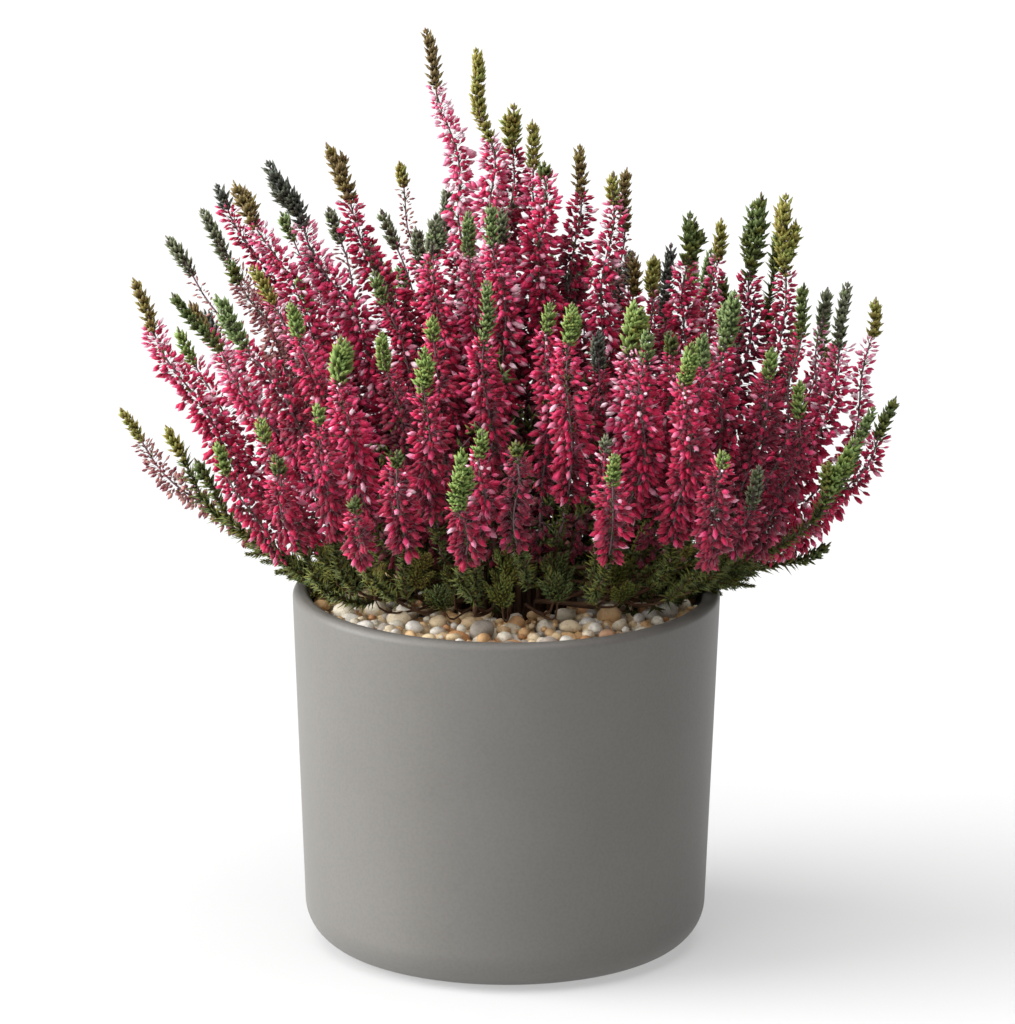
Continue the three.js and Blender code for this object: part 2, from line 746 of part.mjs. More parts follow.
function addPiece(name, geometry, material) {
  const mesh = new THREE.Mesh(geometry, material);
  mesh.name = name;
  part.add(mesh);
}

const shoots = gatherShoots();
settle(shoots);
shoots.forEach((shoot, i) => {
  shoot.turn = i * TURN_BETWEEN_SHOOTS;
  shoot.bloom = bloomLength(shoot);
  shoot.rings = shootRings(shoot);
});
keepClear(shoots);

addPiece("pot", potGeometry(), CERAMIC);
addPiece("compost", compostGeometry(shoots), COMPOST);
addPiece("gravel", gravelGeometry(), GRAVEL);
for (const name of new Set(shoots.map((shoot) => shoot.spray))) {
  const members = shoots.filter((shoot) => shoot.spray === name);
  const fused = wasm.Manifold.union(members.map((shoot) => solidFrom(tube(shoot))));
  addPiece(name, geometryFrom(largestBody(fused)), members[0].habit === "foot" ? LEAF : BLOOM);
}

export default part;
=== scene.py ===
# The looks of a potted heather (Calluna vulgaris), built around its imported CAD frame.
#
# The shoots follow the CAD model's own rule, restated here: tips given one by one, a fan of
# centrelines, and neighbours that push each other aside. Along each centreline stand the fine
# pieces: closed bells of four sepals on their stalks, scale leaves, needles and bark. Lengths are
# in millimetres until a mesh is made.

import math

import bmesh
import bpy
import numpy as np
from mathutils import Matrix, Vector


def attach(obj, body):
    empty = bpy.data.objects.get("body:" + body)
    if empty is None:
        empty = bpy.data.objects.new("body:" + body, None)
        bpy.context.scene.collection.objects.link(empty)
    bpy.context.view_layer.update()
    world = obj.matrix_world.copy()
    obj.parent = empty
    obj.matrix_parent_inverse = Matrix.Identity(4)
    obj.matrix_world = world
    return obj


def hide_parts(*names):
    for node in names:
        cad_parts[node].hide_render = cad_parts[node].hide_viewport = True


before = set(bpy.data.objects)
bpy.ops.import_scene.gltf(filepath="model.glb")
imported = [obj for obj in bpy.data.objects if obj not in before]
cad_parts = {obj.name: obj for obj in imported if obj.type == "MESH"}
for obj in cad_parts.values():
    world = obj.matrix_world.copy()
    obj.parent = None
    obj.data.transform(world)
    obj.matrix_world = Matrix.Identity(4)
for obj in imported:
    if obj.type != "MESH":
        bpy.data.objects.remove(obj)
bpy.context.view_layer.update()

MM = 0.001

# ---- The CAD model's driving dimensions ----

POT_TOP_RADIUS = 72.5
POT_FOOT_RADIUS = 68.3
POT_HEIGHT = 123
POT_WALL = 6
POT_FLOOR = 8
FOOT_ROUND = 14.5
INNER_ROUND = 9
LIP_ROUND = 2.4
FIT_GAP = 0.3

COMPOST_TOP = 112
GRAVEL_TOP = 118
CROWN = np.array([0.0, 8.0])
CROWN_RADIUS = 21.5
GRAVEL_HOLE_RADIUS = 24.5

STEM_HOLE_DEPTH = 9
BELL_REACH = {"full": 7.0, "mid": 6.2, "slim": 5.2, "sparse": 4.6}
LEAF_REACH = 3.3
FOOT_LEAF_REACH = 7.5
FOOT_LEAF_LENGTH = 24
NODE_GAP = 0.35

FAN_Z = 121
FAN_STACK = 18
FAN_REACH = 111
FAN_NARROW = 0.17
FAN_POWER = {"left": 0.92, "middle": 0.4, "right": -0.35, "low": 0.05, "front": -0.4, "back": 0.1}
FORWARD_POWER = 0.15
FAN_POINTS = 60
FORK_AT = 9
FORK_STEP = 8
FORK_BEND = 24
BUSH_RADIUS = 120
BARE_STEM_LEAST = 13
BARE_STEM_FRONT = 12
BARE_STEM_INSIDE = 0.42

LINKS = 22
SETTLE_ROUNDS = 60
SETTLE_RATE = 0.25
SETTLE_REACH = 24
SETTLE_TIP = 0.12
STEM_ROOM = 2.4
RIM_CLEAR_Z = POT_HEIGHT + 4
RIM_CLEAR_RADIUS = 58

# ---- The sprays ----
# Each shoot: tip x, y, z, length of its leafy tip, habit, leaf tone, bell tone, the leaves' reach
# where it isn't LEAF_REACH, and the power of its curve where it isn't that of its place in the fan.
# The first shoot of a spray is its main stem, and the others fork from it.

SPRAYS = {
    "spray_left_low": [
        (-126, 2, 230, 18, "full", "gold", "rosy", 3.3, 0.35),
        (-131, 10, 183, 13, "slim", "olive", "dusky", 2.8, 0.18),
        (-115, -6, 181, 12, "leafy", "olive", "dusky"),
        (-105, -12, 171, 10, "leafy", "dark", "dusky"),
    ],
    "spray_left_front": [
        (-97, -30, 232, 21, "full", "sage", "bright", 3.8),
        (-112, -20, 230, 26, "full", "dark", "rosy"),
        (-97, -26, 181, 12, "mid", "fresh", "rosy"),
        (-94, -8, 239, 9, "mid", "dark", "dusky"),
    ],
    "spray_left_back": [
        (-104, 28, 248, 19, "slim", "grey", "dusky"),
        (-116, 26, 239, 15, "sparse", "grey", "dusky"),
    ],
    "spray_left_tall": [
        (-92, 0, 264, 16, "full", "brown", "rosy", 4),
        (-98, 8, 261, 8, "mid", "black", "deep"),
        (-86, -14, 238, 14, "slim", "olive", "rosy"),
    ],
    "spray_left_dark": [
        (-81, 4, 270, 25, "full", "black", "rosy", 4.2),
        (-77, 20, 249, 10, "sparse", "sage", "pale"),
    ],
    "spray_left_inner": [
        (-61, 5, 276, 21, "full", "brown", "deep", 3.8),
        (-61, 28, 249, 12, "sparse", "grey", "dusky"),
    ],
    "spray_left_side": [
        (-72, -40, 232, 12, "full", "fresh", "bright"),
        (-82, -46, 194, 8, "mid", "fresh", "rosy"),
    ],
    "spray_front_left": [
        (-55, -56, 224, 15, "full", "fresh", "rosy", 4.6),
        (-62, -66, 204, 7, "full", "fresh", "bright"),
        (-76, -60, 185, 7, "mid", "dark", "rosy"),
    ],
    "spray_front_left_inner": [
        (-42, -40, 222, 14, "full", "fresh", "deep"),
        (-45, -8, 235, 11, "slim", "sage", "rosy"),
        (-31, -2, 249, 12, "mid", "grey", "deep"),
    ],
    "spray_mid_left": [
        (-37, 32, 264, 8, "sparse", "olive", "dusky", 2.8),
        (-43, 20, 250, 13, "sparse", "grey", "rosy"),
        (-21, 42, 253, 14, "mid", "grey", "deep"),
    ],
    "spray_tallest": [
        (-11, 2, 309, 31, "full", "olive", "rosy", 3.3, 1.6),
        (-28, 10, 314, 20, "mid", "brown", "rosy", 3.3, 2.4),
    ],
    "spray_mid_front": [
        (-6, -18, 261, 14, "full", "sage", "bright"),
        (-24, -17, 257, 14, "full", "grey", "bright", 4.2),
        (12, -4, 272, 5, "full", "dark", "bright"),
        (-13, -14, 257, 16, "mid", "sage", "rosy"),
        (-2, -8, 257, 12, "slim", "grey", "deep"),
    ],
    "spray_mid_olive": [
        (2, 18, 287, 16, "full", "olive", "deep", 4),
        (8, 11, 283, 16, "mid", "olive", "rosy"),
        (2, 38, 251, 9, "sparse", "grey", "deep"),
    ],
    "spray_right_inner": [
        (24, 8, 275, 17, "full", "brown", "deep"),
        (21, 30, 228, 13, "slim", "black", "deep"),
    ],
    "spray_right_mid": [
        (35, -6, 269, 10, "mid", "olive", "bright"),
        (40, 14, 266, 21, "sparse", "brown", "dusky"),
        (50, 32, 231, 15, "slim", "brown", "deep"),
        (42, 10, 238, 14, "mid", "brown", "deep"),
    ],
    "spray_right_black": [
        (61, 0, 254, 17, "full", "dark", "bright", 4.2),
        (55, 14, 240, 25, "slim", "black", "deep"),
        (72, 22, 247, 13, "slim", "olive", "rosy"),
    ],
    "spray_right_tall": [
        (85, 8, 259, 29, "full", "dark", "deep", 4),
        (93, 2, 260, 27, "mid", "olive", "deep", 4),
        (91, 18, 244, 13, "leafy", "dark", "deep"),
    ],
    "spray_right_side": [
        (114, -4, 231, 22, "full", "grey", "rosy"),
        (99, -10, 232, 18, "slim", "dark", "deep"),
        (108, 14, 225, 12, "sparse", "grey", "pale"),
        (124, 8, 223, 13, "slim", "olive", "pale", 3.3, -0.6),
    ],
    "spray_right_low": [
        (123, -16, 191, 34, "mid", "sage", "rosy"),
        (131, -2, 191, 15, "mid", "dark", "rosy"),
        (117, -24, 182, 24, "leafy", "fresh", "dusky", 4),
        (110, 2, 139, 12, "slim", "dark", "dusky"),
    ],
    "spray_front_mid": [
        (-7, -50, 242, 21, "full", "sage", "bright"),
        (3, -84, 196, 5, "mid", "dark", "deep"),
    ],
    "spray_front_fresh": [
        (-25, -42, 228, 8, "mid", "fresh", "bright"),
        (-27, -70, 224, 16, "full", "fresh", "bright", 4),
    ],
    "spray_front_bold": [
        (21, -66, 238, 14, "full", "fresh", "bright", 3.8),
        (14, -52, 235, 10, "mid", "fresh", "bright"),
    ],
    "spray_front_broad": [
        (42, -48, 235, 17, "full", "fresh", "pale", 5),
        (30, -38, 222, 13, "slim", "black", "deep"),
        (54, -50, 225, 8, "mid", "dark", "rosy"),
    ],
    "spray_front_right": [
        (60, -78, 228, 15, "full", "fresh", "bright", 3.8),
        (46, -64, 229, 11, "full", "sage", "bright"),
        (71, -84, 193, 6, "full", "fresh", "bright"),
    ],
    "spray_front_right_side": [
        (75, -38, 236, 20, "full", "sage", "bright", 3.8),
        (88, -34, 216, 10, "full", "fresh", "deep"),
        (97, -32, 204, 12, "mid", "fresh", "deep"),
    ],
    "spray_front_right_low": [
        (64, -61, 227, 12, "full", "sage", "bright"),
        (83, -60, 182, 16, "mid", "grey", "deep"),
    ],
    "spray_front_low_left": [
        (-36, -82, 192, 6, "full", "dark", "bright"),
        (-50, -80, 176, 6, "mid", "dark", "rosy"),
    ],
    "spray_front_low_mid": [
        (-15, -94, 196, 24, "full", "fresh", "bright", 4),
        (-8, -80, 199, 10, "mid", "fresh", "rosy"),
    ],
    "spray_front_low_right": [
        (35, -88, 193, 12, "full", "fresh", "bright"),
        (33, -72, 195, 6, "slim", "grey", "rosy"),
    ],
}

BACK_ARCS = [(114, 5, 18, 162), (80, 4, 30, 150), (52, 3, 45, 135)]
BACK_HABITS = ["full", "full", "mid"]
BACK_FORK = 15
BACK_FORK_SWAY = 0.9
BACK_RADIUS = 140
BACK_CREST = 120
BACK_SLOPE = 0.15
BACK_UNEVEN = 14
BACK_LEAF_LEAST = 9
BACK_LEAF_MORE = 12
BACK_LEAF_TONES = ["olive", "dark", "sage", "brown", "grey", "fresh", "black"]
BACK_BELL_TONES = ["rosy", "deep", "bright"]

FOOT_SHOOTS = [
    (266, 52, 138), (241, 50, 134), (219, 56, 139), (200, 66, 142), (180, 64, 137),
    (158, 60, 140), (130, 56, 138), (100, 54, 141), (72, 56, 137), (44, 60, 140),
    (18, 68, 138), (344, 66, 143), (312, 58, 135), (286, 48, 139),
]
FOOT_ARM = {"turn": 11, "reach": 0.8, "rise": 5}
FOOT_TONES = ["moss", "dark", "olive"]

# ---- How fine the dressed plant is ----

BELLS_PER_MM = {"full": 5.6, "mid": 4.6, "slim": 3.4, "sparse": 1.7}
BACK_BELLS = 0.66  # of that number, on the sprays behind
BELL_LENGTH = 4.7
BELL_RADIUS = 0.225  # of its length
STALK_RADIUS = 0.16
BRACTS_PER_BELL = 0.15
PARTED = 0.22  # of the racemes show their stem between the bells
PARTING = math.radians(18)  # and this is half the gap
GOLDEN_ANGLE = math.pi * (3 - math.sqrt(5))
WHORL_PITCH = 0.95  # between the whorls of scale leaves
SCALE_LEAF = 0.86  # its length, of the leaves' reach
ROSETTE_PITCH = 1.4  # between the pairs of leaf rosettes on a tip
STEM_SIDES = 4
STEM_STEP = 4.5
STEM_THICK = {"root": 1.25, "side": 0.7, "tip": 0.28}
NEEDLES_PER_MM = 4.4
NEEDLE_LENGTH = 4.0
NEEDLE_RADIUS = 0.55
OLD_TWIGS_PER_MM = 0.13
OLD_TWIG_LENGTH = 16
OLD_TWIG_LEAVES = 14
OLD_TWIG_LEAF_RADIUS = 0.8
OLD_TWIG_LOWEST = 127
OLD_TWIG_RADIUS = 55  # none stand further from the pot's axis
OLD_TWIG_RADIUS_BEHIND = 74
OLD_TWIG_AMONG = 22  # how far up among the bells they stand
SHADE_BELLS_PER_MM = 2.0  # bells in the deepest tone as painted shade, on bare stems inside the bush
SHADE_BELLS_LOWEST = 140
SHADE_BELLS_RADIUS = 62
LOW_BRANCHLETS = 12  # under each shoot of the two low sprays at the sides
LEVEL_SIDES = [0, math.pi]
LOWER_SIDES = [-math.pi / 2, -math.pi / 2 + 1, -math.pi / 2 - 1]
WAVER = 1.5  # how far a stem sways to each side of its settled line
WAVER_LENGTHS = (38, 70)  # of one sway
LEAST_LEAVES = 9
FRONT_CLEAR = 9  # how much higher the leaves at the foot start in front, over the gravel

LEAF_TONES = {
    "black": 0.04, "grey": 0.2, "sage": 0.34, "dark": 0.46, "moss": 0.56,
    "fresh": 0.68, "olive": 0.82, "gold": 0.9, "brown": 0.97,
}
BELL_TONES = {"dusky": 0.05, "deep": 0.36, "bright": 0.52, "rosy": 0.62, "pale": 0.8}
DEEPEST_TONE = 0.17  # of bells that aren't dusky
FEATHERY = 1.5  # as many bells on a dusky raceme, and smaller ones
PALE_BELLS, PALER = 0.15, 0.34  # the share of bells that are paler, and by how much: partly their own colour, partly painted highlight
BARK_BROWN, BARK_MAUVE = 0.15, 0.85


# ---- Numbers and vectors ----

def lerp(a, b, share):
    return a + (b - a) * share


def smoothstep(x, low, high):
    t = np.clip((x - low) / (high - low), 0, 1)
    return t * t * (3 - 2 * t)


def length_of(vectors):
    return np.linalg.norm(vectors, axis=-1, keepdims=True)


def unit(vectors):
    return vectors / np.maximum(length_of(vectors), 1e-9)


def dot(a, b):
    return (a * b).sum(-1, keepdims=True)


def congruential(seed):
    """The CAD model's own random draw, between 0 and 1."""
    while True:
        seed = (seed * 1664525 + 1013904223) % 4294967296
        yield seed / 4294967296


# ---- The CAD model's rule for the shoots ----

class Path:
    """A polyline, given from root to tip and read by the distance from its tip."""

    def __init__(self, points):
        self.points = np.asarray(points, float)[::-1]
        steps = length_of(np.diff(self.points, axis=0))[:, 0]
        self.at = np.concatenate([[0], np.cumsum(steps)])
        self.length = self.at[-1]

    def point(self, distance):
        d = np.clip(distance, 0, self.length)
        return np.stack([np.interp(d, self.at, self.points[:, k]) for k in range(3)], -1)

    def tangent(self, distance, step=1.5):
        d = np.asarray(distance, float)
        return unit(self.point(d - step) - self.point(d + step))

    def links(self, skipped):
        return self.point((self.length - skipped) * np.arange(LINKS + 1) / LINKS)


class Shoot:
    def __init__(self, spray, row, main, fork):
        x, y, z, leaf, habit, leaf_tone, bell_tone = row[:7]
        self.spray, self.main, self.fork, self.habit = spray, main, fork, habit
        self.tip = np.array([x, y, z], float)
        self.leaf_length = leaf
        self.leaf_reach = row[7] if len(row) > 7 else LEAF_REACH
        self.power = row[8] if len(row) > 8 else None
        self.leaf_tone, self.bell_tone = LEAF_TONES[leaf_tone], BELL_TONES[bell_tone]
        self.path = Path(Path(fan_curve(self.tip, self.power)).links(fork)[::-1])
        self.bloom = self.bloom_length()

    def bloom_length(self):
        """How far from the tip the lowest bells stand."""
        if self.habit not in BELL_REACH:
            return self.leaf_length
        inside = 1 - min(math.hypot(self.tip[0], self.tip[1]) / BUSH_RADIUS, 1)
        least = BARE_STEM_LEAST + BARE_STEM_FRONT * smoothstep(-self.tip[1], 20, 80)
        bare_top = lerp(FAN_Z, self.tip[2], BARE_STEM_INSIDE * inside) + least
        d = self.path.length
        while d > self.leaf_length and self.path.point(d)[2] < bare_top:
            d -= 1
        return d

    def reach_at(self, d):
        """How far bells or leaves stand out at a distance from the tip."""
        d = np.asarray(d, float)
        leafy = self.leaf_reach * leaf_taper(1 - d / self.leaf_length)
        if self.habit not in BELL_REACH:
            return leafy
        share = (self.bloom - d) / max(self.bloom - self.leaf_length, 1e-6)
        return np.where(d <= self.leaf_length, leafy, BELL_REACH[self.habit] * raceme_taper(share))


def raceme_taper(share):
    return np.minimum(1, np.minimum(0.62 + 1.6 * share, 1.9 - 1.25 * share))


def leaf_taper(share):
    return np.minimum(1, np.minimum(0.8 + share, 1.35 - 0.75 * share))


def fan_power(tip):
    lean = lerp(FAN_POWER["left"], FAN_POWER["middle"], smoothstep(tip[0], -70, 10))
    upright = lerp(lean, FAN_POWER["right"], smoothstep(tip[0], 0, 60))
    sideways = lerp(upright, FAN_POWER["low"], smoothstep(abs(tip[0]) / (tip[2] - FAN_Z), 0.9, 1.5))
    back = min(FAN_POWER["back"], sideways)
    behind = lerp(sideways, back, smoothstep(tip[1], 20, 90))
    return lerp(behind, FAN_POWER["front"], smoothstep(-tip[1], 15, 70))


def root_of(tip):
    away = tip[:2] - CROWN
    slope = np.hypot(*away) / math.sqrt((tip[2] - FAN_Z) / FAN_REACH)
    return CROWN + unit(away) * min(FAN_NARROW * slope, CROWN_RADIUS)


def fan_curve(tip, power):
    root = root_of(tip)
    start = FAN_Z + FAN_STACK * (1 - np.hypot(*(root - CROWN)) / CROWN_RADIUS)
    power = power or fan_power(tip)
    forward = lerp(power, max(power, FORWARD_POWER), smoothstep(-tip[1], 15, 60))
    top = tip[2] - start
    height = top * (np.arange(FAN_POINTS + 1) / FAN_POINTS) ** 2
    flat = [
        lerp(root[k], tip[k], ((height + 1) ** p - 1) / ((top + 1) ** p - 1))
        for k, p in enumerate((power, forward))
    ]
    return np.column_stack([*flat, start + height])


def back_sprays():
    random = congruential(7)
    looks = np.random.default_rng(21)
    sprays = []
    for distance, count, first, last in BACK_ARCS:
        for i in range(count):
            azimuth = math.radians(lerp(first, last, i / (count - 1)))
            rows = []
            for k, habit in enumerate(BACK_HABITS):
                side = 0.5 if k == 1 else -0.5
                fork = azimuth + math.pi * side + BACK_FORK_SWAY * (next(random) - 0.5)
                offset = BACK_FORK if k else 0
                x = distance * math.cos(azimuth) + offset * math.cos(fork)
                y = distance * math.sin(azimuth) + offset * math.sin(fork)
                dome = BACK_CREST * np.cbrt(1 - (math.hypot(x, y) / BACK_RADIUS) ** 3)
                z = FAN_Z + dome - BACK_SLOPE * y + BACK_UNEVEN * (next(random) - 0.5)
                leaf = BACK_LEAF_LEAST + BACK_LEAF_MORE * next(random)
                tones = looks.choice(BACK_LEAF_TONES), looks.choice(BACK_BELL_TONES)
                rows.append((x, y, z, leaf, habit, *tones))
            sprays.append(rows)
    return {f"spray_back_{i + 1:02d}": rows for i, rows in enumerate(sprays)}


def foot_sprays():
    sprays = {}
    for i, (azimuth, reach, height) in enumerate(FOOT_SHOOTS):
        arms = [
            (azimuth, reach, height),
            (azimuth + FOOT_ARM["turn"], reach * FOOT_ARM["reach"], height + FOOT_ARM["rise"]),
        ]
        tone = FOOT_TONES[i % len(FOOT_TONES)]
        sprays[f"leafy_shoot_{i + 1:02d}"] = [
            (r * math.cos(math.radians(a)), r * math.sin(math.radians(a)), z,
             FOOT_LEAF_LENGTH, "foot", tone, "deep", FOOT_LEAF_REACH)
            for a, r, z in arms
        ]
    return sprays


def gather_shoots():
    shoots = []
    for name, rows in {**SPRAYS, **back_sprays(), **foot_sprays()}.items():
        main = Shoot(name, rows[0], None, 0)
        shoots.append(main)
        for i, row in enumerate(rows[1:]):
            shoots.append(Shoot(name, row, main, FORK_AT + i * FORK_STEP))
    return shoots


def close_pairs(shoots, base, parting):
    """Links of different shoots that may touch, as two lists of flat indices."""
    flat = base.reshape(-1, 3)
    shoot_of = np.repeat(np.arange(len(shoots)), LINKS + 1)
    names = {name: i for i, name in enumerate(dict.fromkeys(s.spray for s in shoots))}
    spray_of = np.repeat([names[s.spray] for s in shoots], LINKS + 1)
    free = parting.reshape(-1) >= 1
    first, second = [], []
    for a in range(len(flat)):
        later = slice(a + 1, None)
        near = ((flat[later] - flat[a]) ** 2).sum(1) < SETTLE_REACH**2
        near &= shoot_of[later] != shoot_of[a]
        near &= (spray_of[later] != spray_of[a]) | (free[later] & free[a])
        found = np.flatnonzero(near) + a + 1
        first.append(np.full(len(found), a))
        second.append(found)
    return np.concatenate(first), np.concatenate(second)


def settle(shoots):
    """Neighbouring shoots push each other aside until they have room. Tips stay where they are."""
    count = len(shoots)
    order = {id(s): i for i, s in enumerate(shoots)}
    base = np.array([s.path.points for s in shoots])
    at = np.array([s.path.at for s in shoots])
    along = at[:, -1:] - at
    is_side = np.array([s.main is not None for s in shoots])
    main_of = np.array([order[id(s.main or s)] for s in shoots])
    fork = np.array([s.fork for s in shoots])[:, None]
    room = np.array([
        np.where(s.path.at > s.bloom, STEM_ROOM, s.reach_at(s.path.at)) for s in shoots
    ])
    freedom = np.minimum(np.arange(LINKS + 1) / LINKS / SETTLE_TIP, 1)[None, :, None]
    parting = np.where(is_side[:, None], smoothstep(along, 0, FORK_BEND), 1.0)
    beside = np.clip(LINKS * (1 - (fork + along) / at[main_of, -1:]), 0, LINKS - 1e-9)
    step = np.floor(beside).astype(int)
    is_root = np.zeros((count, LINKS + 1), bool)
    is_root[~is_side, LINKS] = True
    a, b = close_pairs(shoots, base, parting)
    room_ab = (room.reshape(-1)[a] + room.reshape(-1)[b] + NODE_GAP)[:, None]
    before = np.maximum(np.arange(LINKS + 1) - 1, 0)
    after = np.minimum(np.arange(LINKS + 1) + 1, LINKS)
    offset, place = np.zeros_like(base), base.copy()
    for _ in range(SETTLE_ROUNDS):
        flat = place.reshape(-1, 3)
        away = flat[a] - flat[b]
        distance = length_of(away)
        push = away / distance * SETTLE_RATE * np.maximum(room_ab - distance, 0)
        total = np.stack([
            np.bincount(a, push[:, k], flat.shape[0]) - np.bincount(b, push[:, k], flat.shape[0])
            for k in range(3)
        ], -1)
        moved = offset + total.reshape(base.shape)
        offset = (2 * moved + moved[:, before] + moved[:, after]) / 4
        place = base + offset * freedom
        keep_in_pot(place, base, offset, is_root)
        main_place = place[main_of]
        shoot_index = np.arange(count)[:, None]
        nearby = lerp(
            main_place[shoot_index, step],
            main_place[shoot_index, np.minimum(step + 1, LINKS)],
            (beside - step)[..., None],
        )
        place = np.where(parting[..., None] < 1, lerp(place, nearby, 1 - parting[..., None]), place)
    for shoot, points in zip(shoots, place):
        settled = points[::-1]
        if shoot.main is None:
            root = settled[:1].copy()
            root[0, 2] = COMPOST_TOP - STEM_HOLE_DEPTH
            settled = np.concatenate([root, settled])
        shoot.path = Path(settled)
        shoot.bloom = shoot.bloom_length()


def keep_in_pot(place, base, offset, is_root):
    """Low down the stems stay inside the rim and over the gravel."""
    low = place[..., 2] <= RIM_CLEAR_Z
    centre = np.where(is_root[..., None], CROWN, 0.0)
    most = np.where(is_root, CROWN_RADIUS, RIM_CLEAR_RADIUS)[..., None]
    away = place[..., :2] - centre
    far = np.maximum(length_of(away), 1e-9)
    flat = away / far * np.minimum(far, most) + centre
    z = np.where(is_root, base[..., 2], np.maximum(place[..., 2], FAN_Z))
    kept = np.concatenate([flat, z[..., None]], -1)
    place[low] = kept[low]
    offset[low] = (kept - base)[low]


# ---- Mesh building ----

class Form:
    """A small closed mesh that is copied many times: z runs along it, from 0 to 1."""

    def __init__(self, vertices, faces):
        self.vertices = np.array(vertices, float)
        self.faces = np.array(faces, int)


class Batch:
    """Everything that one piece is made of. Each vertex has two numbers that its colour depends
    on: tone, the kind of colour, and along, how far it is from the foot of its leaf or bell."""

    def __init__(self):
        self.vertices, self.faces, self.tones, self.alongs, self.materials = [], [], [], [], []
        self.count = 0

    def add(self, vertices, faces, tone, along, material=0):
        n = len(vertices)
        self.vertices.append(vertices)
        self.faces.append(np.asarray(faces) + self.count)
        self.tones.append(np.broadcast_to(tone, n))
        self.alongs.append(np.broadcast_to(along, n))
        self.materials.append(np.full(len(faces), material))
        self.count += n

    def stamp(self, form, origins, axes, sizes, tones, material=0, tone_sway=0.012):
        """Copies a form to each origin, with its x, y and z axes (copies, 3, 3) and sizes."""
        copies, n = len(origins), len(form.vertices)
        if not copies:
            return
        local = form.vertices[None] * sizes[:, None, :]
        placed = origins[:, None, :] + np.einsum("cnk,ckj->cnj", local, axes)
        faces = form.faces[None] + (np.arange(copies) * n)[:, None, None]
        sway = tone_sway * np.sign(form.vertices[:, 0])
        self.add(
            placed.reshape(-1, 3),
            faces.reshape(-1, 3),
            (np.asarray(tones)[:, None] + sway[None]).reshape(-1),
            np.tile(np.clip(form.vertices[:, 2], 0, 1), copies),
            material,
        )


def make_object(name, batch, materials, bands=1):
    """A piece from a batch. Its UV map is the two numbers that its colours depend on, one band of
    the map for each material."""
    vertices = np.concatenate(batch.vertices) * MM
    faces = np.concatenate(batch.faces)
    slots = np.concatenate(batch.materials)
    tone = np.clip(np.concatenate(batch.tones), 0.002, 0.998)
    along = np.clip(np.concatenate(batch.alongs), 0.002, 0.998)
    mesh = bpy.data.meshes.new(name)
    mesh.vertices.add(len(vertices))
    mesh.vertices.foreach_set("co", vertices.astype(np.float32).ravel())
    mesh.loops.add(faces.size)
    mesh.loops.foreach_set("vertex_index", faces.ravel().astype(np.int32))
    mesh.polygons.add(len(faces))
    mesh.polygons.foreach_set("loop_start", np.arange(0, faces.size, 3, dtype=np.int32))
    mesh.polygons.foreach_set("material_index", slots.astype(np.int32))
    mesh.polygons.foreach_set("use_smooth", np.ones(len(faces), bool))
    for attribute, values in (("tone", tone), ("along", along)):
        data = mesh.attributes.new(attribute, "FLOAT", "POINT").data
        data.foreach_set("value", values.astype(np.float32))
    corners = faces.ravel()
    band = np.repeat(slots, 3)
    uv = np.column_stack([tone[corners], (band + 0.02 + 0.96 * along[corners]) / bands])
    mesh.uv_layers.new(name="OFBake").data.foreach_set("uv", uv.astype(np.float32).ravel())
    mesh.update()
    mesh.validate()
    for material in materials:
        mesh.materials.append(material)
    piece = bpy.data.objects.new(name, mesh)
    bpy.context.scene.collection.objects.link(piece)
    return piece


def tube_faces(rings, sides):
    """Faces of a closed tube whose two end points follow its rings of vertices."""
    faces = []
    for j in range(rings - 1):
        for k in range(sides):
            a, b = j * sides + k, j * sides + (k + 1) % sides
            faces += [(a, b, b + sides), (a, b + sides, a + sides)]
    bottom, top = rings * sides, rings * sides + 1
    last = (rings - 1) * sides
    for k in range(sides):
        faces.append((bottom, (k + 1) % sides, k))
        faces.append((top, last + k, last + (k + 1) % sides))
    return np.array(faces)


def core_bell_form():
    """The plainest bell, for the depth of a raceme."""
    ring = [(math.cos(math.pi * k / 2), math.sin(math.pi * k / 2), 0.5) for k in range(4)]
    faces = []
    for k in range(4):
        n = (k + 1) % 4
        faces += [(0, 1 + n, 1 + k), (1 + k, 1 + n, 5)]
    return Form([(0, 0, 0), *ring, (0, 0, 1)], faces)


def plain_bell_form():
    """A closed bell with no fold between its sepals, for the inside of a raceme."""
    vertices = [(0, 0, 0)]
    for turn, r, z in ((0, 0.8, 0.28), (1, 0.95, 0.62)):
        for k in range(4):
            angle = math.pi * (k / 2 + turn / 4)
            vertices.append((r * math.cos(angle), r * math.sin(angle), z))
    vertices.append((0, 0, 1))
    faces = []
    for k in range(4):
        n = (k + 1) % 4
        faces += [(0, 1 + n, 1 + k), (5 + k, 5 + n, 9)]
        faces += [(1 + k, 1 + n, 5 + k), (1 + n, 5 + n, 5 + k)]
    return Form(vertices, faces)


